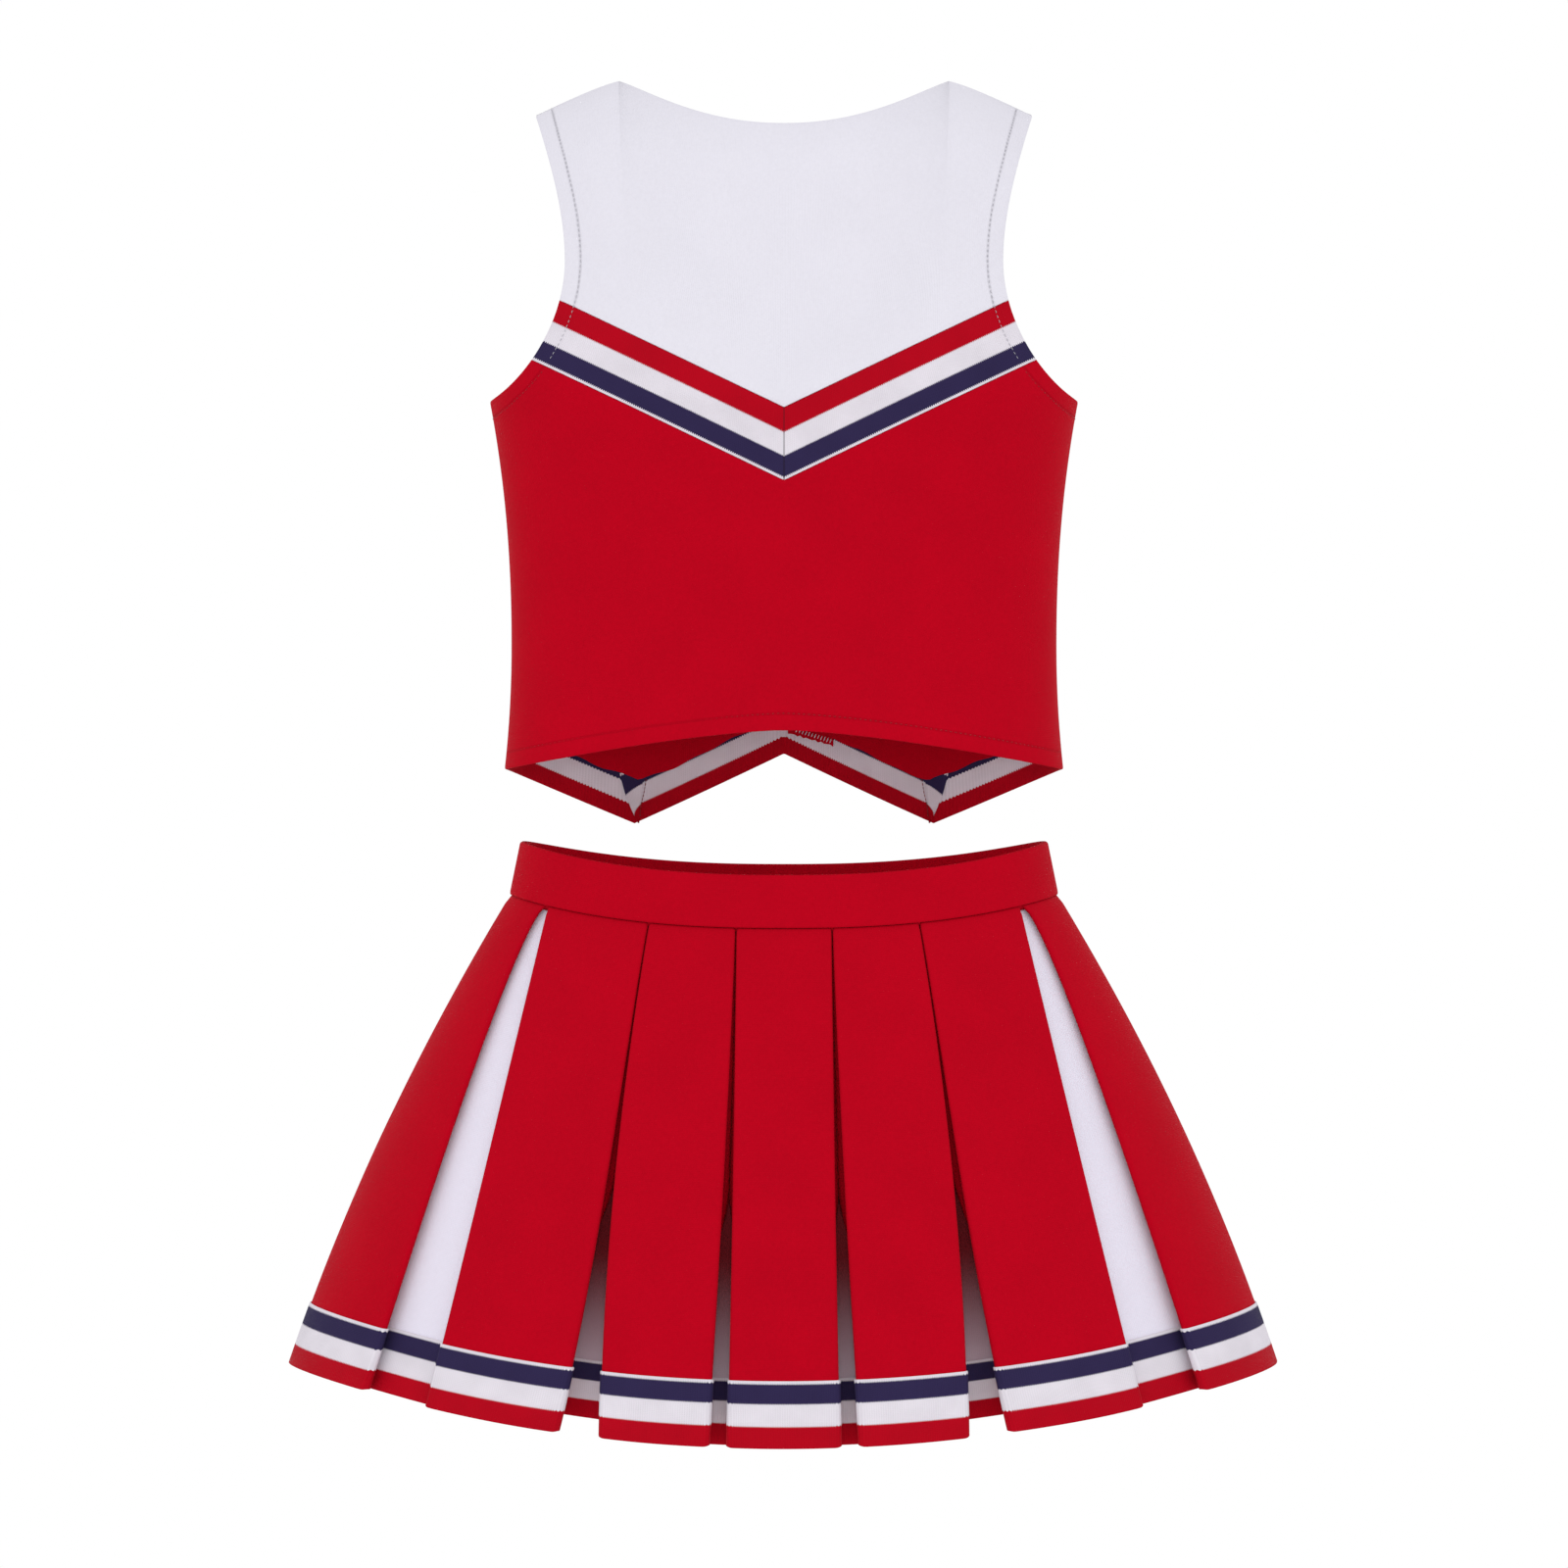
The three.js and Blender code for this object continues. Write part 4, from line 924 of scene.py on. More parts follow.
def arc_width(start, end, rise):
    """Distance round the skirt between two angles, one value per level."""
    angles = lerp(start[:, None], end[:, None], np.linspace(0, 1, 13)[None, :])
    points = skirt_surface(angles, rise[:, None])
    return np.linalg.norm(np.diff(points, axis=1), axis=-1).sum(axis=1)


class Panel:
    """One skirt panel: its edges round the skirt, and its cloth's path across a level."""

    def __init__(self, index):
        self.index = index
        self.before = GAPS[(index - 1) % len(GAPS)]
        self.after = GAPS[index % len(GAPS)]
        self.turn = 2 * math.pi if index % len(GAPS) == 0 else 0.0

    def edges(self, rise):
        return self.before[1](rise)[1] - self.turn, self.after[1](rise)[0]

    def path(self, rise, pitch):
        start, end = self.edges(rise)
        width = arc_width(start, end, rise)
        left, right = (
            edge_path(pleat, arc_width(*edges(rise), rise), rise)
            for pleat, edges in (self.before, self.after)
        )
        count = max(8, int(width.max() / pitch))
        share = np.linspace(0, 1, count + 2)[1:-1][None, :]
        before, after = -left[0][:, ::-1], width[:, None] + right[0]
        face = lerp(before[:, -1:], after[:, :1], share)
        across = np.concatenate([before, face, after], axis=1)
        depth = np.concatenate([left[1][:, ::-1], CLOTH / 2 + 0 * face, right[1]], axis=1)
        return across, depth, width, left[0].shape[1], right[0].shape[1]

    def angles(self, across, width, rise):
        start, end = (edge[:, None] for edge in self.edges(rise))
        rate = width[:, None] / (end - start)
        inside = lerp(start, end, np.clip(across / width[:, None], 0, 1))
        past = np.minimum(across, 0) + np.maximum(across - width[:, None], 0)
        return inside + past / rate


PANELS = [Panel(index) for index in range(len(GAPS))]


def path_normals(across, depth):
    step_across = np.gradient(across, axis=1)
    step_depth = np.gradient(depth, axis=1)
    size = np.hypot(step_across, step_depth)
    return step_depth / size, -step_across / size


def corner_rise(across, width, radius=2.6):
    """How much a panel's hem climbs where it goes round the pleat's fold, in millimetres."""
    inside = np.clip(np.minimum(across, width - across), -radius, radius)
    near = np.clip(radius - np.maximum(inside, 0), 0, radius)
    return radius - np.sqrt(np.maximum(radius**2 - near**2, 0))


def panel_points(panel, levels, outward, pitch, columns=slice(None)):
    """A grid of points of a panel's cloth, some way out from its middle line, with its coordinates."""
    across, depth, width, left, _ = panel.path(levels, pitch)
    normal = path_normals(across, depth)
    length = np.hypot(np.diff(across, axis=1), np.diff(depth, axis=1))
    along = np.concatenate([0 * across[:, :1], np.cumsum(length, axis=1)], axis=1)
    along -= along[:, left : left + 1] + width[:, None] / 2
    across, depth, normal = across[:, columns], depth[:, columns], [part[:, columns] for part in normal]
    outward = np.broadcast_to(outward, across.shape)
    lift = corner_rise(across, width[:, None]) / SKIRT_DROP * (1 - levels[:, None]) ** 24
    rise = levels[:, None] + lift
    angle = panel.angles(across + normal[0] * outward, width, levels)
    tuck = 0.9 * smoothstep(levels, 0.985, 1.0)[:, None]
    points = on_skirt(angle, rise, depth + normal[1] * outward + tuck)
    face = np.clip(across / width[:, None], 0, 1)
    loose = (1 - levels[:, None]) ** 1.5
    seed = panel.index * 2.39996
    swing = 0.9 * np.sin(face * math.pi) + 0.5 * np.sin(face * 4.2 + seed + 3 * levels[:, None])
    out = np.stack([np.sin(angle), -np.cos(angle), 0 * angle], axis=-1)
    points = points + out * (loose * swing + 0.5 * sway(points) * (1 - levels[:, None]))[..., None]
    return points, stacked(along[:, columns], rise * SIDE_LINE * CLOTH_STRETCH + 0 * across)


def panel_ply(panel, pitch):
    height = SKIRT_DROP * 1.04
    levels = rounded_steps(height, 1.4 * pitch, CLOTH / 2)
    levels[-1] = min(levels[-1], 1.0)
    count = panel.path(levels[:2], pitch)[0].shape[1]
    u, v = np.meshgrid(np.linspace(0, 1, count), levels)
    inset = rim_inset(u, v, count * 1.2, height, CLOTH)
    half = CLOTH / 2 - inset
    outer, coords = panel_points(panel, levels, half, pitch)
    inner, _ = panel_points(panel, levels, -half, pitch)
    return closed_ply(outer, inner, coords)


class Pleat:
    """The floor of one pleat, behind the gap between two panels."""

    def __init__(self, number, gap):
        self.number = number
        self.pleat, self.edges = gap

    def points(self, levels, inward, margin):
        start, end = self.edges(levels)
        width = arc_width(start, end, levels)[:, None]
        rate = (width[:, 0] / (end - start))[:, None]
        share = np.linspace(0, 1, FLOOR_COLUMNS)[None, :]
        under = underlay(levels)[:, None] - margin
        across = lerp(-under, width + under, share)
        angle = start[:, None] + across / rate
        lift = self.pleat["lift"] / SKIRT_DROP * (1 - levels[:, None]) ** 6
        hollow = 1.2 * np.sin(share * math.pi) * (1 - levels[:, None])
        depth = fold_depth(self.pleat, levels)[:, None] + inward + hollow
        points = on_skirt(angle, levels[:, None] + lift, depth)
        up = (levels[:, None] + lift) * SIDE_LINE * CLOTH_STRETCH
        return points, stacked(across - width / 2, up + 0 * across)


FLOORS = [Pleat(number + 1, gap) for number, gap in enumerate(gap for gap in GAPS if gap[0])]


def floor_ply(floor, pitch):
    height = SKIRT_DROP * 1.04
    levels = rounded_steps(height, 1.6 * pitch, INSERT_CLOTH / 2)
    margin = 0.4
    u, v = np.meshgrid(np.linspace(0, 1, FLOOR_COLUMNS), levels)
    inset = rim_inset(u, v, FLOOR_WIDTH, height, INSERT_CLOTH)
    outer, coords = floor.points(levels, inset, margin)
    inner, _ = floor.points(levels, INSERT_CLOTH - inset, margin)
    return closed_ply(outer, inner, coords)


def braid_levels(pitch):
    """Levels up the hem braid, which starts a hair below the cloth, with their shares of its width."""
    share = rounded_steps(BRAID_WIDTH, 0.8 * pitch, BRAID_THICK / 2)
    return lerp(-0.0012, BRAID_WIDTH / SKIRT_DROP, share), share


def panel_braid(panel, pitch):
    """Braid over one panel's hem, round its folds."""
    levels, share = braid_levels(pitch)
    across, _, _, left, right = panel.path(levels[:2], pitch)
    first, last = (
        columns - FOLD_COLUMNS if pleat else SIDE_COLUMNS
        for columns, (pleat, _) in ((left, panel.before), (right, panel.after))
    )
    keep = slice(first, across.shape[1] - last)
    u, v = np.meshgrid(np.linspace(0, 1, keep.stop - keep.start), share)
    inset = rim_inset(u, v, FLOOR_WIDTH, BRAID_WIDTH, BRAID_THICK)
    base = CLOTH / 2 + LAID_GAP
    outer, coords = panel_points(panel, levels, base + BRAID_THICK - inset, pitch, keep)
    inner, _ = panel_points(panel, levels, base + inset, pitch, keep)
    coords[..., 1] = v * BRAID_WIDTH
    return closed_ply(outer, inner, coords)


def floor_braid(floor, pitch):
    """Braid over the hem of one pleat's floor."""
    levels, share = braid_levels(pitch)
    margin = 1.9
    u, v = np.meshgrid(np.linspace(0, 1, FLOOR_COLUMNS), share)
    inset = rim_inset(u, v, FLOOR_WIDTH, BRAID_WIDTH, BRAID_THICK)
    outer, coords = floor.points(levels, -BRAID_THICK - LAID_GAP + inset, margin)
    inner, _ = floor.points(levels, -LAID_GAP - inset, margin)
    coords[..., 1] = v * BRAID_WIDTH
    return closed_ply(outer, inner, coords)


def band_surface(angle, rise):
    half = lerp(SEAM_HALF, BAND_TOP_HALF, rise)
    deep = lerp(SEAM_DEEP, BAND_TOP_DEEP, rise)
    return section_point(angle, half, deep, SEAM_ROUND, seam_level(angle) + rise * BAND_HEIGHT)


def band_ply(start, pitch):
    """Half of the waistband: up its outside, over its top fold and down its inside."""
    thickness, turn_radius = 1.3, 1.05
    round_half, over_fold = 360, 52  # about its two lengths; they only set the steps and the rims
    face = thickness / 2 - 0.45
    top = BAND_HEIGHT - turn_radius - thickness / 2
    up = np.concatenate([[0.05, 0.3, 0.8], np.linspace(1.6, top, 12)])
    turn = np.radians(np.linspace(180, 0, 9)[1:-1])
    down = np.linspace(top, -2.4, 11)
    height = np.concatenate([up, top + turn_radius * np.sin(turn), down])
    depth = np.concatenate([0 * up, turn_radius * (1 + np.cos(turn)), 0 * down + 2 * turn_radius]) + face
    depth[:3] += (0.5, 0.25, 0.08)  # its lower edge rolls under, into the seam
    normal = path_normals(height[None, :], depth[None, :])
    short = float(short_of_side(-SEAM_LAP / 2, BAND_TOP_DEEP, SEAM_ROUND))
    share = rounded_steps(round_half, pitch, thickness / 2)
    angle = lerp(start + short, start + math.pi - short, share)
    u, v = np.meshgrid(share, np.linspace(0, 1, len(height)))
    half = thickness / 2 - rim_inset(u, v, round_half, over_fold, thickness)
    rows = []
    for side in (1, -1):
        above = height[:, None] + normal[0].T * half * side
        below = depth[:, None] + normal[1].T * half * side
        rows.append(sunk(band_surface, angle[None, :] + 0 * above, above / BAND_HEIGHT, below))
    coords = stacked(u * round_half, height[:, None] + 0 * u)
    return closed_ply(rows[0], rows[1], coords)


class UNIFORM_OT_skirt_panels(bpy.types.Operator):
    """Sews the skirt's red panels, with their pleats folded back"""

    bl_idname = "uniform.skirt_panels"
    bl_label = "Skirt Panels"

    def execute(self, context):
        for panel in PANELS:
            name = f"skirt_panel_{panel.index + 1:02d}"
            mesh_data = panel_ply(panel, sewing("knit"))
            piece = place(f"{name}_cloth", mesh_data, "red skirt knit", "skirt", "red_cloth", [name])
            declare(mesh_data, PANEL_LENGTH)
        return {"FINISHED"}


class UNIFORM_OT_pleat_inserts(bpy.types.Operator):
    """Sews the white floors of the pleats"""

    bl_idname = "uniform.pleat_inserts"
    bl_label = "Pleat Inserts"

    def execute(self, context):
        for floor in FLOORS:
            name = f"skirt_insert_{floor.number:02d}"
            mesh_data = floor_ply(floor, sewing("knit"))
            # the inserts of the two narrow pleats take the knit with painted shade
            finish = "white insert knit" if floor.pleat is PLEATS[-1] else "insert knit with painted shade"
            piece = place(f"{name}_cloth", mesh_data, finish, "skirt", "insert_cloth", [name])
            declare(mesh_data, INSERT_LENGTH)
        return {"FINISHED"}


class UNIFORM_OT_hem_braid(bpy.types.Operator):
    """Sews the striped braid round the skirt's hem"""

    bl_idname = "uniform.hem_braid"
    bl_label = "Hem Braid"

    def execute(self, context):
        pitch = sewing("knit")
        half = len(PANELS) // 2
        for side, first in (("front", 4), ("back", 11)):
            parts = [panel_braid(PANELS[k % len(PANELS)], pitch) for k in range(first, first + half)]
            parts += [
                floor_braid(floor, pitch) for floor in FLOORS if (4 <= floor.number <= 9) == (side == "front")
            ]
            mesh_data = joined(parts)
            name = f"skirt_hem_braid_{side}"
            piece = place(f"{name}_cloth", mesh_data, "hem braid", "skirt", "striped_braid", [name])
            length = area_of(*mesh_data[:2]) / 2 / BRAID_WIDTH
            declare(mesh_data, length)
        return {"FINISHED"}


class UNIFORM_OT_waistband(bpy.types.Operator):
    """Sews the folded waistband over the tops of the panels"""

    bl_idname = "uniform.waistband"
    bl_label = "Waistband"

    def execute(self, context):
        for side, start in (("back", -QUARTER), ("front", QUARTER)):
            mesh_data = band_ply(start, sewing("knit"))
            name = f"skirt_waistband_{side}"
            nodes = [name, f"skirt_band_lining_{side}"]
            piece = place(f"{name}_cloth", mesh_data, "red band knit", "skirt", "red_cloth", nodes)
            declare(mesh_data, BAND_LENGTH)
        return {"FINISHED"}


# ---------------------------------------------------------------- shell cloth

YOKE_NECK_SHARE = 16 / 22
NECKS = {BACK: BACK_NECK, FRONT: FRONT_NECK}
FACE_NAMES = {BACK: "back", FRONT: "front"}
FLAP_DROP = 20.3


def neck_line(face, x):
    drop, curve = NECKS[face]
    return shoulder_level(x) - drop * (1 - np.minimum(np.abs(x) / NECK_HALF, 1) ** curve)


def armhole_edge(face, side, inward=0.0):
    lower = bezier(ARMHOLE_LOWER, np.linspace(0, 1, 40) ** UNDERARM_CROWD)
    upper = bezier(ARMHOLE_UPPER, np.linspace(0, 1, 40)[1:])
    lower = on_face(face, side * lower[:, 0], lower[:, 1], inward + 0 * lower[:, 0])
    turn = np.maximum(roll_turn(upper[:, 0], upper[:, 1]), SEAM_GAP / CHEST_DEEP)
    upper = on_yoke(face, side * upper[:, 0], turn, inward + 0 * turn)
    return np.concatenate([lower, upper])


def back_hem_edge():
    x = np.linspace(-TOP_HEM_HALF + 0.5, TOP_HEM_HALF - 0.5, 61)
    return on_face(BACK, x, back_hem(x), 0 * x)


def distance_to(lines, points):
    """Millimetres from each point to the nearest of some lines."""
    best = np.full(points.shape[:-1], 1e3)
    for line in lines:
        for start, end in zip(line, line[1:]):
            along = end - start
            share = np.clip(((points - start) @ along) / (along @ along), 0, 1)
            best = np.minimum(best, np.linalg.norm(points - start - share[..., None] * along, axis=-1))
    return best


def shaped_ply(surface, width, height, thickness, pitch, start=0.0, lines=(), coords=None):
    """A ply of cloth over surface(u, v, inward), with rounded edges, starting some way in."""
    across = rounded_steps(width, pitch, thickness / 2)
    up = rounded_steps(height, pitch, thickness / 2)
    u, v = np.meshgrid(across, up)
    inset = rim_inset(u, v, width, height, thickness)
    outer = surface(u, v, start + inset)
    inner = surface(u, v, start + thickness - inset)
    if coords is None:
        coords = stacked((u - 0.5) * width, v * height)
    if callable(coords):
        coords = coords(u, v)
    if lines:
        coords = stacked(coords[..., 0], coords[..., 1], distance_to(lines, outer))
    return closed_ply(outer, inner, coords)


def body_surface(face):
    seam_share = 7 / 12
    line_z = CHEVRON_Z - 0.05
    end = float(armhole_crossing(line_z))
    end_x = float(bezier(ARMHOLE_LOWER, np.array(end))[0])
    hem = back_hem if face == BACK else lambda x: front_hem(x) + FRONT_BRAID_HEIGHT - 0.1
    corner = float(hem(torso_half(float(hem(TOP_HEM_HALF)))))

    def bottom(u):
        edge = np.where(u < 0.5, side_seam_angle(-1, corner), side_seam_angle(1, corner))
        angle = np.abs(2 * u - 1) * edge
        x = torso_half(corner) * np.sin(np.abs(angle)) ** (2 / TORSO_ROUND)
        return stacked(angle, hem(x))

    def top(u):
        x = lerp(-end_x, end_x, u)
        z = line_z + CHEVRON_SLOPE * np.abs(x)
        return stacked(torso_angle(x, z), z)

    def edge(side):
        def at(v):
            z = lerp(corner, UNDERARM_Z, np.minimum(v / seam_share, 1))
            crowd = (np.maximum(v - seam_share, 0) / (1 - seam_share)) ** UNDERARM_CROWD
            point = bezier(ARMHOLE_LOWER, end * crowd)
            seam = stacked(side_seam_angle(side, z), z)
            hole = stacked(side * torso_angle(point[..., 0], point[..., 1]), point[..., 1])
            return np.where((v <= seam_share)[..., None], seam, hole)

        return at

    fill = patch(bottom, top, edge(-1), edge(1))

    def surface(u, v, inward):
        angle, z = np.moveaxis(fill(u, v), -1, 0)
        points = on_torso(face_angle(face, angle), z, inward)
        free = np.sin(np.pi * np.clip(v, 0, 1)) ** 0.5 * (1 - (2 * u - 1) ** 8)
        points[..., 1] += face * sway(points * 0.6) * free * 1.3
        return points

    return surface


def yoke_ply(face, pitch):
    line_z = CHEVRON_Z + BRAID_RISE + 0.1
    start = float(armhole_crossing(line_z))
    start_x = float(bezier(ARMHOLE_LOWER, np.array(start))[0])
    climb = armhole_climb(start)

    def bottom(u):
        x = lerp(-start_x, start_x, u)
        return stacked(x, roll_turn(x, line_z + CHEVRON_SLOPE * np.abs(x)))

    def top(u):
        across = 2 * u - 1
        neck_x = NECK_HALF * np.sin(QUARTER * np.clip(across / YOKE_NECK_SHARE, -1, 1))
        neck = np.maximum(roll_turn(neck_x, neck_line(face, neck_x)), 0.1 / CHEST_DEEP)
        past = np.maximum(np.abs(across) - YOKE_NECK_SHARE, 0) / (1 - YOKE_NECK_SHARE)
        shoulder_x = np.sign(across) * lerp(NECK_HALF, SHOULDER_HALF, past)
        open_neck = np.abs(across) <= YOKE_NECK_SHARE
        return stacked(np.where(open_neck, neck_x, shoulder_x), np.where(open_neck, neck, 0.2 / CHEST_DEEP))

    def edge(side):
        def at(v):
            flat = climb(v.ravel()).reshape(v.shape + (2,))
            return stacked(side * flat[..., 0], np.maximum(flat[..., 1], 0.2 / CHEST_DEEP))

        return at

    right = edge(1)
    known = {}

    def one_side(v):
        key = v.shape
        if key not in known:
            known[key] = right(v[:, :1])
        return np.broadcast_to(known[key], v.shape + (2,))

    fill = patch(bottom, top, lambda v: one_side(v) * (-1, 1), one_side)

    def surface(u, v, inward):
        x, turn = np.moveaxis(fill(u, v), -1, 0)
        points = on_yoke(face, x, turn, inward)
        free = np.sin(np.pi * np.clip(v, 0, 1)) ** 0.7 * (1 - (2 * u - 1) ** 8)
        points[..., 1] += face * sway(points * 0.5) * free * 1.1
        return points

    lines = [armhole_edge(face, -1), armhole_edge(face, 1)]
    return shaped_ply(surface, *YOKE_FLAT, CLOTH, pitch, lines=lines)


def chevron_surface(face, side):
    def surface(u, v, inward):
        line_z = CHEVRON_Z + v * BRAID_RISE
        end = bezier(ARMHOLE_LOWER, armhole_crossing(line_z))[..., 0]
        x = lerp(-MITRE_LAP, end, u)
        z = line_z + CHEVRON_SLOPE * np.abs(x)
        return on_face(face, side * x, z, inward)

    return surface


def front_hem_surface(inner, side):
    def surface(u, v, inward):
        corner = HEM_Z + v * FRONT_BRAID_HEIGHT
        if inner:
            near = torso_angle(-MITRE_LAP, corner)
            far = torso_angle(FRONT_POINT_X + MITRE_LAP, corner)
        else:
            near = torso_angle(FRONT_POINT_X - MITRE_LAP, corner)
            far = np.abs(side_seam_angle(side, corner))
        angle = lerp(near, far, u)
        x = torso_half(corner) * signed_power(np.sin(angle), 2 / TORSO_ROUND)
        z = front_hem(np.minimum(x, TOP_HEM_HALF)) + v * FRONT_BRAID_HEIGHT
        return on_torso(face_angle(FRONT, side * angle), z, inward)

    return surface


def flap_surface(side):
    """The red seam allowance that hangs inside the front, over the top of its hem braid."""

    def surface(u, v, inward):
        x = lerp(0.3, TOP_HEM_HALF - 7, u)
        wander = 0.45 * np.sin(x / 3.1 + side) + 0.35 * np.sin(x / 7.7 + 2 * side)
        low = FLAP_DROP + 2.0 * np.exp(-(((x - FRONT_POINT_X) / 9) ** 2)) + smoothstep(x, 70, 90) * 1.0
        z = front_hem(x) + lerp(low + wander, 50.0, v)
        loose = 0.5 * (1 - v) ** 2 * (1 + np.sin(x / 9 + 1.3))
        return on_face(FRONT, side * x, z, inward + loose)

    return surface


def allowance_surface(side):
    """The end of an inner length of braid, turned past its mitre at the front hem's point."""

    def surface(u, v, inward):
        height = v * 26
        out = np.interp(height, [0, 7.4, 15.8, 23.9, 30], [0.4, 3.9, 7.2, 9.5, 10.5])
        away = np.interp(height, [0, 9.8, 20, 24.3, 30], [-0.2, -1.1, -1.5, -3.9, -4.4])
        past = lerp(away, out, u)
        x = FRONT_POINT_X + past
        z = HEM_Z - FRONT_HEM_DROP + np.maximum(height, 0.2 + np.abs(past) * 0.44)
        return on_face(FRONT, side * x, z, inward)

    return surface


def facing_ply(stops, width, middle):
    """A ring of thin cloth just inside an opening's edge.

    stops are (at, u, v): each a point of the edge in its own chart, where at(u, v, inward) places it.
    """
    points = np.array([at(u, v, 0.0) for at, u, v in stops])
    before, after = np.roll(points, 1, axis=0), np.roll(points, -1, axis=0)
    share = np.concatenate([[0.0, 0.03], np.linspace(0.1, 0.9, 5), [0.97, 1.0]])
    inner_rows, outer_rows = [], []
    for index, (at, u, v) in enumerate(stops):
        tangent = after[index] - before[index]
        tangent /= np.linalg.norm(tangent)
        step = 1e-3
        along_u = (at(u + step, v, 0.0) - points[index]) / step
        along_v = (at(u, v + step, 0.0) - points[index]) / step
        normal = np.cross(along_u, along_v)
        normal /= np.linalg.norm(normal)
        into = np.cross(normal, tangent)
        if into @ (points[index] - middle) < 0:
            into = -into
        chart = np.linalg.lstsq(np.stack([along_u, along_v], axis=1), into, rcond=None)[0]
        near, far = [], []
        for part in share:
            reach = lerp(0.5, width, part)
            inset = 0.3 if part in (0.0, 1.0) else 0.0
            spot = u + chart[0] * reach, v + chart[1] * reach
            near.append(at(*spot, CLOTH + FACING_GAP + inset))
            far.append(at(*spot, CLOTH + FACING_GAP + THIN_CLOTH - inset))
        inner_rows.append(near)
        outer_rows.append(far)
    loop = np.concatenate([np.array(inner_rows), np.array(outer_rows)[:, ::-1]], axis=1)
    count, size = loop.shape[:2]
    index = np.arange(count * size).reshape(count, size)
    nxt, side = np.roll(index, -1, axis=0), np.roll(index, -1, axis=1)
    faces = np.stack([index, nxt, np.roll(nxt, -1, axis=1), side], axis=-1).reshape(-1, 4)
    length = np.concatenate([[0], np.cumsum(np.linalg.norm(np.diff(points, axis=0), axis=1))])
    across = np.concatenate([share, share[::-1]]) * width
    coords = stacked(length[:, None], across[None, :])
    return loop.reshape(-1, 3), faces, coords.reshape(-1, 2)


def scalar_at(place_at):
    """The same chart for single numbers."""
    return lambda u, v, inward: place_at(np.array([u]), np.array([v]), np.array([inward]))[0]


def armhole_stops(side):
    upper_from = 0.55
    climb = armhole_climb(upper_from)
    share = np.linspace(0, 1, 31)
    stops = []
    for face in (BACK, FRONT):
        torso = scalar_at(on_torso)
        yoke = scalar_at(lambda u, v, inward, face=face: on_yoke(face, u, v, inward))
        lower = bezier(ARMHOLE_LOWER, upper_from * share[:-1] ** UNDERARM_CROWD)
        lower = [(torso, float(face_angle(face, torso_angle(side * x, z))), float(z)) for x, z in lower]
        upper = [(yoke, side * float(x), float(turn)) for x, turn in climb(share)]
        stops += lower + upper if face == BACK else upper[:-1][::-1] + lower[1:][::-1]
    return stops


def neck_stops():
    stops = []
    for face in (BACK, FRONT):
        yoke = scalar_at(lambda u, v, inward, face=face: on_yoke(face, u, v, inward))
        for share in np.linspace(0, 1, 61)[:-1]:
            x = -face * lerp(-NECK_HALF, NECK_HALF, share)
            stops.append((yoke, x, float(roll_turn(x, neck_line(face, x)))))
    return stops


def tube_round(spine, beside, above, sides, radius):
    """Rings of points round a spine, their quads and the turn of each point in a ring."""
    turn = np.linspace(0, 2 * math.pi, sides, endpoint=False)
    around = np.cos(turn)[None, :, None] * beside[:, None] + np.sin(turn)[None, :, None] * above[:, None]
    rings = spine[:, None] + around * np.reshape(radius, (-1, 1, 1))
    index = np.arange(len(spine) * sides).reshape(-1, sides)
    low, high = index[:-1], index[1:]
    corners = [low, np.roll(low, -1, axis=1), np.roll(high, -1, axis=1), high]
    return rings.reshape(-1, 3), np.stack(corners, axis=-1).reshape(-1, 4), turn


def thread_run(line, outward, stitch, thread, share=0.62, sink=0.3):
    """Stitches lying along a line of points, as one mesh; outward gives the cloth's normal there."""
    step = np.linalg.norm(np.diff(line, axis=0), axis=1)
    length = np.concatenate([[0], np.cumsum(step)])
    starts = np.arange(stitch / 2, length[-1] - stitch, stitch)
    parts = []
    bow = np.array([-0.9, -0.1, 0.28, 0.28, -0.1, -0.9])
    girth = np.array([0.35, 0.9, 1.0, 1.0, 0.9, 0.35])
    for start in starts:
        reach = start + np.linspace(0, share * stitch, len(bow))
        spine = np.stack([np.interp(reach, length, line[:, k]) for k in range(3)], axis=1)
        up = np.stack([np.interp(reach, length, outward[:, k]) for k in range(3)], axis=1)
        up = unit(up)
        beside = np.cross(up, unit(spine[-1] - spine[0]))
        spine = spine + up * ((bow - sink) * thread)[:, None]
        points, faces, turn = tube_round(spine, beside, up, 6, girth * thread / 2)
        caps = np.array([[3, 2, 1, 0], [0, 5, 4, 3]])
        faces = np.concatenate([faces, caps, caps[:, ::-1] + len(points) - len(turn)])
        parts.append((points, faces, stacked(reach[:, None], turn[None, :]).reshape(-1, 2)))
    return joined(parts)


def armhole_stitches(face, side, red):
    """The line of stitches some way in from an armhole's edge: its red or its pale part."""
    from_edge = 9.0
    edge = armhole_edge(face, side)
    outward = unit(armhole_edge(face, side, -1.0) - edge)
    into = np.cross(outward, unit(np.gradient(edge, axis=0)))
    into *= np.sign((into @ np.array([-side, 0, 0]))[:, None] + 1e-9)
    line = edge + into * from_edge + outward * 0.1
    if red:  # back onto the torso, round to the side seam
        angle = np.arccos(np.clip(np.abs(line[:, 1]) / torso_deep(line[:, 2]), 0, 1) ** (TORSO_ROUND / 2))
        line = on_torso(face_angle(face, side * angle), line[:, 2], -0.1 + 0 * angle)
    on_red = line[:, 2] < CHEVRON_Z + CHEVRON_SLOPE * np.abs(line[:, 0])
    keep = on_red if red else ~on_red
    return line[keep], outward[keep]


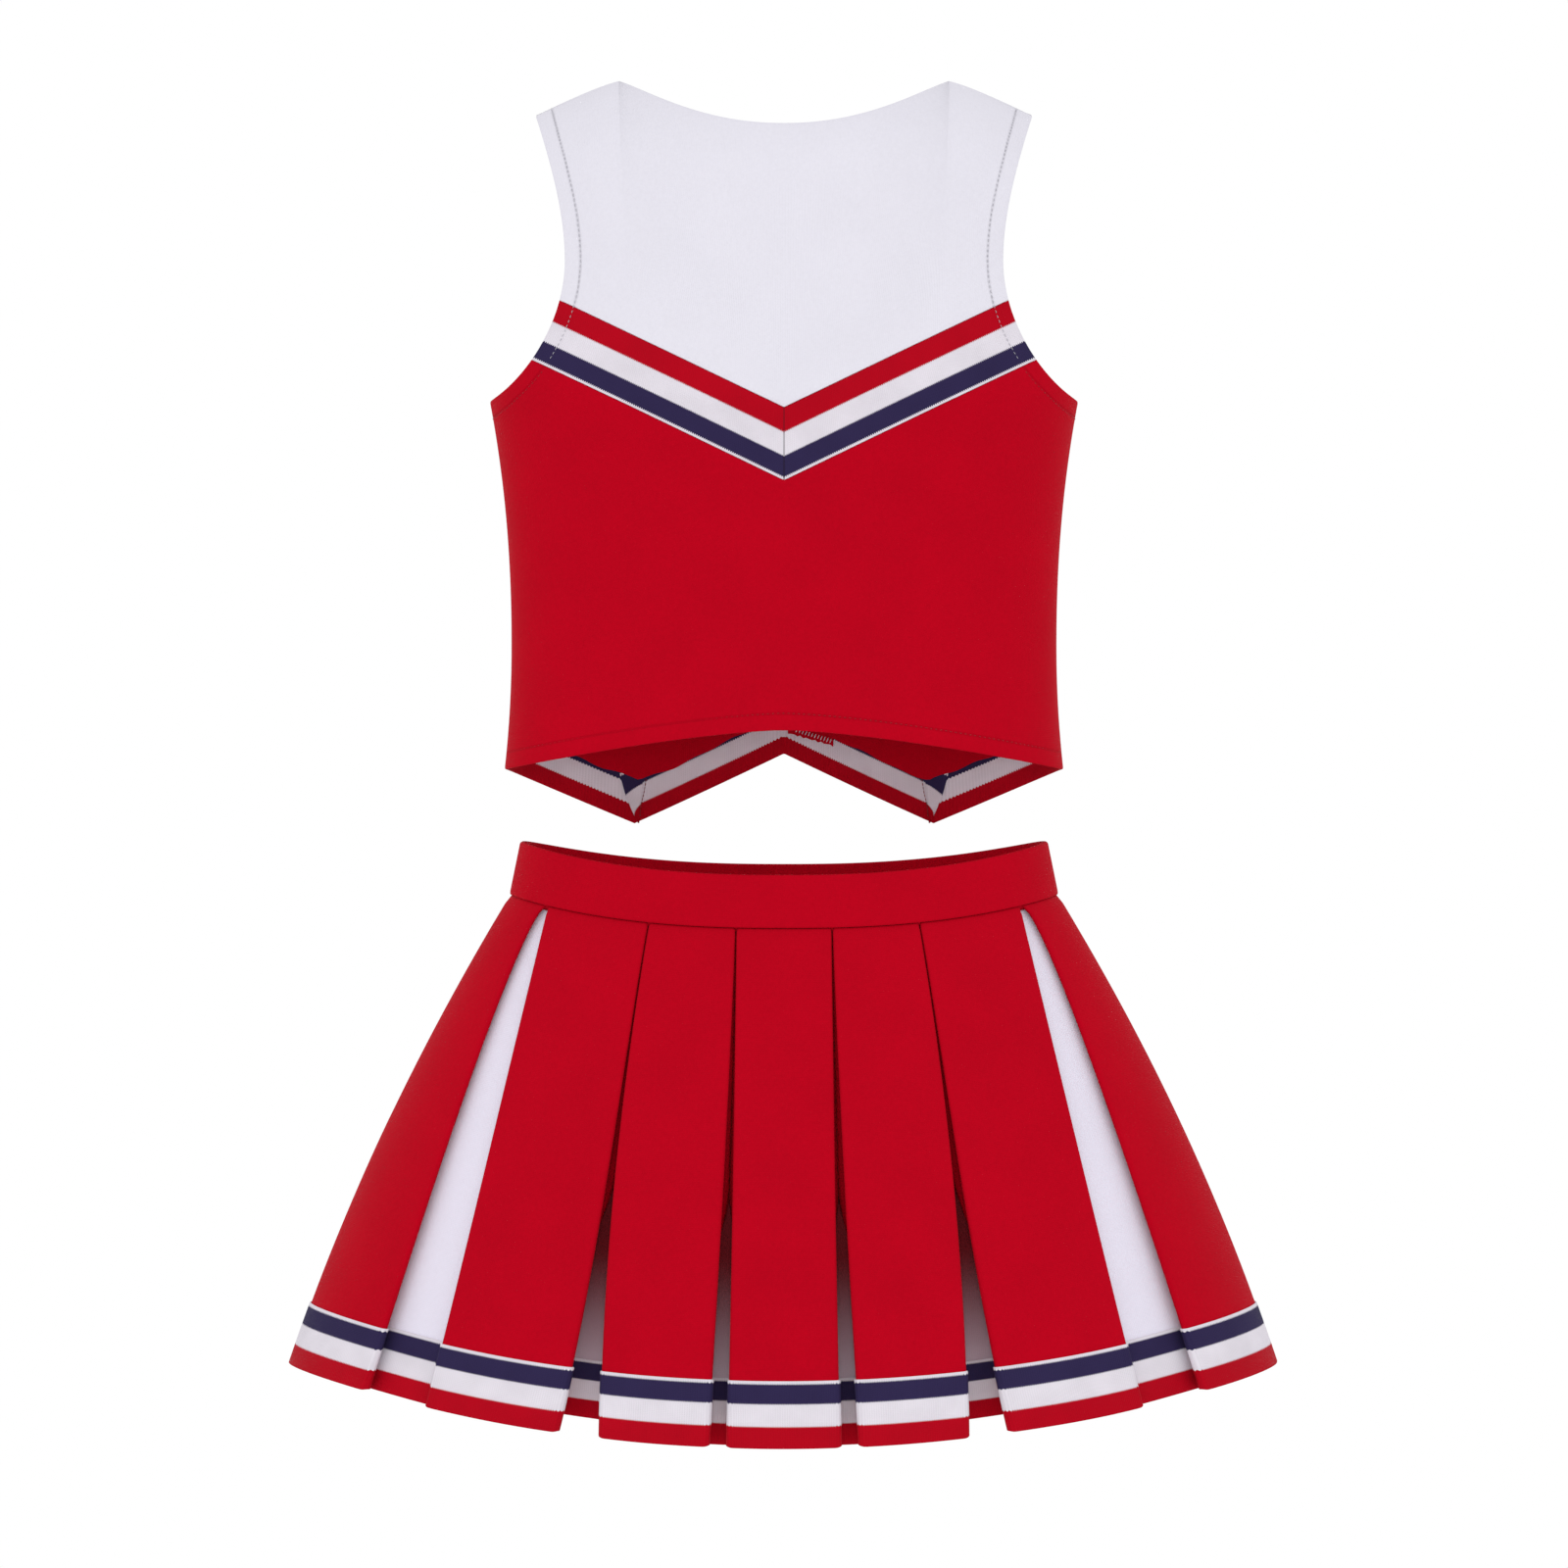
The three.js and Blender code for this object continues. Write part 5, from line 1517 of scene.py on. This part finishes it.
def zip_frame(prefix):
    """The zip's place: its low end, outward and along, as unit arrows in millimetres."""
    if prefix == "top":
        low_z, high_z = TOP_ZIP_LOW, TOP_ZIP_LOW + ZIP_LENGTH
        low = np.array([-float(torso_half(low_z)), 0, low_z])
        high = np.array([-float(torso_half(high_z)), 0, high_z])
    else:
        def at(z):
            return skirt_surface(np.array(-QUARTER), np.array((z - HEM_SIDE_RISE) / SIDE_LINE))

        high, low = at(SKIRT_ZIP_TOP), at(SKIRT_ZIP_TOP - ZIP_LENGTH)
        low = high + unit(low - high) * ZIP_LENGTH
    up = unit(high - low)
    sideways = np.array([0.0, -1.0, 0.0])
    return low, np.cross(sideways, up), sideways, up


def in_zip(prefix, out, side, along):
    low, outward, sideways, up = zip_frame(prefix)
    return low + out[..., None] * outward + side[..., None] * sideways + along[..., None] * up


def tape_ply(prefix, side, pitch):
    """One side's tape; below the coils the two tapes come together."""

    def surface(u, v, inward):
        along = lerp(-TAPE_BELOW, ZIP_LENGTH + TAPE_ABOVE, v)
        near = 2.0 - 1.95 * (1 - smoothstep(along, 0.0, 2.5))
        across = lerp(near, 9.9, u if side > 0 else 1 - u)
        return in_zip(prefix, TAPE_FACE - inward, side * across, along)

    def coords(u, v):
        return stacked(u * 8, v * TAPE_LENGTH)

    return shaped_ply(surface, 7.9, TAPE_LENGTH, 0.7, min(pitch, 2.6), coords=coords)


def coil_ply(prefix, side, turns):
    """One edge's coil: a nylon thread wound along the tape."""
    count = turns * 10
    share = np.linspace(0, 1, count)
    wind = share * turns * 2 * math.pi + (0 if side > 0 else math.pi)
    spine_side = side * (1.02 + 0.95 * np.cos(wind))
    spine_out = TAPE_FACE - 0.3 + 0.5 * np.sin(wind)
    spine = in_zip(prefix, spine_out, spine_side, lerp(3.2, 99.2, share))
    tangent = unit(np.gradient(spine, axis=0))
    beside = unit(np.cross(tangent, zip_frame(prefix)[-1]))
    points, faces, turn = tube_round(spine, beside, np.cross(beside, tangent), 5, COIL_THREAD / 2)
    coords = stacked((share * 96)[:, None], turn[None, :])
    return points, faces, coords.reshape(-1, 2)


class UNIFORM_OT_shell_bodies(bpy.types.Operator):
    """Sews the red lower halves of the shell"""

    bl_idname = "uniform.shell_bodies"
    bl_label = "Shell Bodies"

    def execute(self, context):
        for face, name in FACE_NAMES.items():
            lines = [armhole_edge(face, -1), armhole_edge(face, 1)]
            if face == BACK:
                lines.append(back_hem_edge())
            name = f"top_body_{name}"
            mesh_data = shaped_ply(body_surface(face), *BODY_FLAT, CLOTH, sewing("knit"), lines=lines)
            piece = place(f"{name}_cloth", mesh_data, "red double knit", "top", "red_cloth", [name])
            declare(mesh_data, BODY_FLAT[0])
        return {"FINISHED"}


class UNIFORM_OT_shell_yokes(bpy.types.Operator):
    """Sews the white shoulder yokes of the shell"""

    bl_idname = "uniform.shell_yokes"
    bl_label = "Shell Yokes"

    def execute(self, context):
        for face, name in FACE_NAMES.items():
            name = f"top_yoke_{name}"
            mesh_data = yoke_ply(face, sewing("knit"))
            piece = place(f"{name}_cloth", mesh_data, "white yoke knit", "top", "yoke_cloth", [name])
            declare(mesh_data, YOKE_FLAT[0])
        return {"FINISHED"}


class UNIFORM_OT_chevrons(bpy.types.Operator):
    """Sews the striped chevrons between the yokes and the bodies"""

    bl_idname = "uniform.chevrons"
    bl_label = "Chevrons"

    def execute(self, context):
        pitch = sewing("knit") * 0.8
        length = CHEVRON_REACH * math.hypot(1, CHEVRON_SLOPE)

        def coords(u, v):
            return stacked(u * length - MITRE_LAP, v * BRAID_WIDTH)

        for face, face_name in FACE_NAMES.items():
            for side, side_name in SIDES:
                lines = [armhole_edge(face, side)]
                surface = chevron_surface(face, side)
                mesh_data = shaped_ply(surface, length, BRAID_WIDTH, CLOTH, pitch, lines=lines, coords=coords)
                name = f"top_chevron_{face_name}_{side_name}"
                piece = place(f"{name}_cloth", mesh_data, "chevron braid", "top", "striped_braid", [name])
                declare(mesh_data, length)
        return {"FINISHED"}


class UNIFORM_OT_front_hem(bpy.types.Operator):
    """Sews the zigzag hem of the shell's front, with its allowances inside"""

    bl_idname = "uniform.front_hem"
    bl_label = "Front Hem"

    def execute(self, context):
        pitch = sewing("knit") * 0.8
        for side, side_name in SIDES:
            for part, length in (("inner", 84.0), ("outer", 74.0)):
                mesh_data = shaped_ply(
                    front_hem_surface(part == "inner", side), length, FRONT_BRAID_HEIGHT, CLOTH, pitch,
                    coords=lambda u, v: stacked(u * length, v * FRONT_BRAID_HEIGHT),
                )
                name = f"top_hem_braid_{part}_{side_name}"
                piece = place(f"{name}_cloth", mesh_data, "front hem braid", "top", "striped_braid", [name])
                declare(mesh_data, length)
            mesh_data = shaped_ply(flap_surface(side), *FLAP_FLAT, 0.9, pitch, start=CLOTH + 0.15)
            piece = place(f"top_hem_flap_{side_name}", mesh_data, "red band knit", "top", "red_cloth")
            declare(mesh_data, FLAP_FLAT[0])
            wide, high = ALLOWANCE_FLAT
            mesh_data = shaped_ply(
                allowance_surface(side), wide, high, 0.6, 1.6, start=CLOTH + LAID_GAP,
                coords=lambda u, v: stacked(u * wide, v * high + (u * wide - 2) * 0.49),
            )
            name = f"top_hem_allowance_{side_name}"
            piece = place(name, mesh_data, "front hem braid", "top", "striped_braid")
            declare(mesh_data, 17.0)
        return {"FINISHED"}


def join_surface(u, v, inward):
    """The red scrap that closes the front hem's middle mitre inside."""
    x = lerp(2.0, 2.0 + JOIN_FLAT[0], u)
    z = front_hem(x) + lerp(11.6 + 4.6 * u + 0.5 * np.sin(x * 1.7), 25, v)
    return on_face(FRONT, x, z, inward)


def inside_front(points):
    """A line on the inner face of the front, through points (x, z), with its normal."""
    spots = np.array(points, float)
    share = np.linspace(0, 1, 24)
    x, z = (np.interp(share, np.linspace(0, 1, len(spots)), spots[:, k]) for k in range(2))
    line = on_face(FRONT, x, z, CLOTH + 1.0 + 0 * x)
    return line, unit(on_face(FRONT, x, z, CLOTH + 2.0 + 0 * x) - line)


class UNIFORM_OT_hem_mending(bpy.types.Operator):
    """Sews the scrap, the overcast stitches and the mitre stitches inside the front hem"""

    bl_idname = "uniform.hem_mending"
    bl_label = "Hem Mending"

    def execute(self, context):
        thread = sewing("thread")
        mesh_data = shaped_ply(join_surface, *JOIN_FLAT, 0.5, 1.6, start=CLOTH + 0.4)
        piece = place("top_hem_join", mesh_data, "red band knit", "top", "red_cloth")
        declare(mesh_data, JOIN_FLAT[0])
        parts = []
        for x in np.linspace(5.5, 23, 12):
            low = float(front_hem(x)) + 11.4 + 0.16 * x
            line, outward = inside_front([(x, low), (x + 1.8, low + 4.2)])
            length = float(np.linalg.norm(np.diff(line, axis=0), axis=1).sum())
            parts.append(thread_run(line, outward, length * 0.62, thread * 1.5, share=0.95, sink=-0.3))
        place("top_hem_overcast", joined(parts), "white thread", "top", "yoke_cloth")
        low = HEM_Z - FRONT_HEM_DROP
        for side, side_name in SIDES:
            spots = [(-3.9, 24), (-2.6, 16), (-0.9, 9), (-0.3, 1.5)]
            line, outward = inside_front([(side * (FRONT_POINT_X + x), low + z) for x, z in spots])
            mesh_data = thread_run(line, outward, 2.0, thread * 1.3, share=0.85, sink=-0.4)
            place(f"top_hem_mitre_stitches_{side_name}", mesh_data, "dark red thread", "top", "red_cloth")
        return {"FINISHED"}


def label_surface(u, v, inward):
    """The blank label's place, just under the neck facing at the middle back."""
    wide, high = LABEL_FLAT
    top = NECK_Z - BACK_NECK[0] - NECK_FACING_WIDTH - 1
    x = lerp(-wide / 2, wide / 2, u)
    return on_yoke(BACK, x, roll_turn(x, lerp(top - high, top, v)), inward)


class UNIFORM_OT_facings(bpy.types.Operator):
    """Sews the facings inside the armholes and the neck, and the blank label at the nape"""

    bl_idname = "uniform.facings"
    bl_label = "Facings and Label"

    def execute(self, context):
        rings = []
        for side, side_name in SIDES:
            middle = (side * CHEST_HALF, 0, ARMHOLE_Z)
            rings.append((f"top_armhole_facing_{side_name}", armhole_stops(side), FACING_WIDTH, middle))
        rings.append(("top_neck_facing", neck_stops(), NECK_FACING_WIDTH, (0, 0, NECK_Z + SHOULDER_ROLL)))
        for name, stops, width, middle in rings:
            mesh_data = facing_ply(stops, width, np.array(middle))
            piece = place(f"{name}_cloth", mesh_data, "white facing knit", "top", "facing_cloth", [name])
            declare(mesh_data, FACING_LENGTH)
        mesh_data = shaped_ply(label_surface, *LABEL_FLAT, 0.5, 3.0, start=CLOTH + FACING_GAP)
        nodes = ["top_neck_label"]
        piece = place("top_neck_label_cloth", mesh_data, "blank satin", "top", "label_satin", nodes)
        declare(mesh_data, LABEL_FLAT[1])
        return {"FINISHED"}


class UNIFORM_OT_stitching(bpy.types.Operator):
    """Sews the lines of stitches along the armholes and the back hem"""

    bl_idname = "uniform.stitching"
    bl_label = "Stitching"

    def execute(self, context):
        stitch, thread = sewing("stitch"), sewing("thread")
        for side, side_name in SIDES:
            for red, tone, slot in ((False, "grey", "yoke_cloth"), (True, "red", "red_cloth")):
                runs = [armhole_stitches(face, side, red) for face in FACE_NAMES]
                mesh_data = joined([thread_run(*run, stitch, thread) for run in runs])
                place(f"top_armhole_stitches_{tone}_{side_name}", mesh_data, f"{tone} thread", "top", slot)
        x = np.linspace(-TOP_HEM_HALF + 8, TOP_HEM_HALF - 8, 90)
        z = back_hem(x) + sewing("hem")
        line = on_face(BACK, x, z, 0 * x)
        outward = unit(on_face(BACK, x, z, -1.0 + 0 * x) - line)
        mesh_data = thread_run(line, outward, stitch, thread)
        place("top_hem_stitches", mesh_data, "red thread", "top", "red_cloth")
        return {"FINISHED"}


class UNIFORM_OT_zips(bpy.types.Operator):
    """Sets the zip tapes, their coils and the metal parts in the left side seam"""

    bl_idname = "uniform.zips"
    bl_label = "Zips and Hook"

    def execute(self, context):
        turns = context.scene.uniform_sewing.teeth
        metal = ["skirt_hook", "skirt_hook_bar"]
        for body in ("top", "skirt"):
            mesh_data = joined([tape_ply(body, side, sewing("knit")) for side, _ in SIDES])
            nodes = [f"{body}_zip_tape_back", f"{body}_zip_tape_front"]
            piece = place(f"{body}_zip_tapes", mesh_data, "red zip tape", body, "zip_tape", nodes)
            declare(mesh_data, TAPE_LENGTH)
            mesh_data = joined([coil_ply(body, side, turns) for side, _ in SIDES])
            place(f"{body}_zip_coils", mesh_data, "nylon coil", body, "zip_tape")
            metal += [f"{body}_zip_{part}" for part in ("slider", "pull", "stop")]
        for name in metal:
            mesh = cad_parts[name].data
            mesh.materials.clear()
            mesh.materials.append(finishes()["nickel"])
        return {"FINISHED"}


class UNIFORM_OT_studio(bpy.types.Operator):
    """Sets the pale floor, the soft lights and the camera"""

    bl_idname = "uniform.studio"
    bl_label = "Studio"

    def execute(self, context):
        scene = context.scene
        around = np.linspace(0, 2 * math.pi, 96, endpoint=False)
        rim = [(FLOOR_RADIUS * math.cos(a), FLOOR_RADIUS * math.sin(a), FLOOR_Z) for a in around]
        mesh = bpy.data.meshes.new("studio_floor")
        mesh.from_pydata(rim, [], [list(range(len(rim)))])
        mesh.materials.append(studio_finish("studio paper", (0.93, 0.93, 0.93)))
        add_object("studio_floor", mesh)
        for name, where, size, power, target in LIGHTS:
            light = bpy.data.lights.new(name, "AREA")
            light.energy, light.size = power, size
            aim = Vector(target) - Vector(where)
            add_object(name, light, where).rotation_euler = aim.to_track_quat("-Z", "Y").to_euler()
        world = bpy.data.worlds.new("studio")
        world.use_nodes = True
        sky = world.node_tree.nodes["Background"]
        sky.inputs["Color"].default_value = (1, 1, 1, 1)
        sky.inputs["Strength"].default_value = 1.0
        scene.world = world
        scene.view_settings.view_transform = "Standard"
        lens = bpy.data.cameras.new("camera")
        lens.lens, lens.sensor_width = 270, 36
        scene.camera = add_object("camera", lens, (0, -CAMERA_BACK, CAMERA_Z))
        scene.camera.rotation_euler = (QUARTER, 0, 0)
        return {"FINISHED"}


STEPS = (
    UNIFORM_OT_skirt_panels,
    UNIFORM_OT_pleat_inserts,
    UNIFORM_OT_hem_braid,
    UNIFORM_OT_waistband,
    UNIFORM_OT_shell_bodies,
    UNIFORM_OT_shell_yokes,
    UNIFORM_OT_chevrons,
    UNIFORM_OT_front_hem,
    UNIFORM_OT_hem_mending,
    UNIFORM_OT_facings,
    UNIFORM_OT_stitching,
    UNIFORM_OT_zips,
    UNIFORM_OT_studio,
)


class UNIFORM_PT_sidebar(bpy.types.Panel):
    """Colours, sewing sizes and steps of the uniform"""

    bl_label = "Uniform"
    bl_idname = "UNIFORM_PT_sidebar"
    bl_space_type = "VIEW_3D"
    bl_region_type = "UI"
    bl_category = "Uniform"

    def draw(self, context):
        for group in (context.scene.uniform_colours, context.scene.uniform_sewing):
            for name in group.__annotations__:
                self.layout.prop(group, name)
        for step in STEPS:
            self.layout.operator(step.bl_idname)


def register():
    for made in (UniformColours, UniformSewing, *STEPS, UNIFORM_PT_sidebar):
        bpy.utils.register_class(made)
    bpy.types.Scene.uniform_colours = PointerProperty(type=UniformColours)
    bpy.types.Scene.uniform_sewing = PointerProperty(type=UniformSewing)


def unregister():
    del bpy.types.Scene.uniform_sewing
    del bpy.types.Scene.uniform_colours
    for made in reversed((UniformColours, UniformSewing, *STEPS, UNIFORM_PT_sidebar)):
        bpy.utils.unregister_class(made)


def main():
    register()
    bpy.ops.uniform.skirt_panels()
    bpy.ops.uniform.pleat_inserts()
    bpy.ops.uniform.hem_braid()
    bpy.ops.uniform.waistband()
    bpy.ops.uniform.shell_bodies()
    bpy.ops.uniform.shell_yokes()
    bpy.ops.uniform.chevrons()
    bpy.ops.uniform.front_hem()
    bpy.ops.uniform.hem_mending()
    bpy.ops.uniform.facings()
    bpy.ops.uniform.stitching()
    bpy.ops.uniform.zips()
    bpy.ops.uniform.studio()


if __name__ == "__main__":
    main()
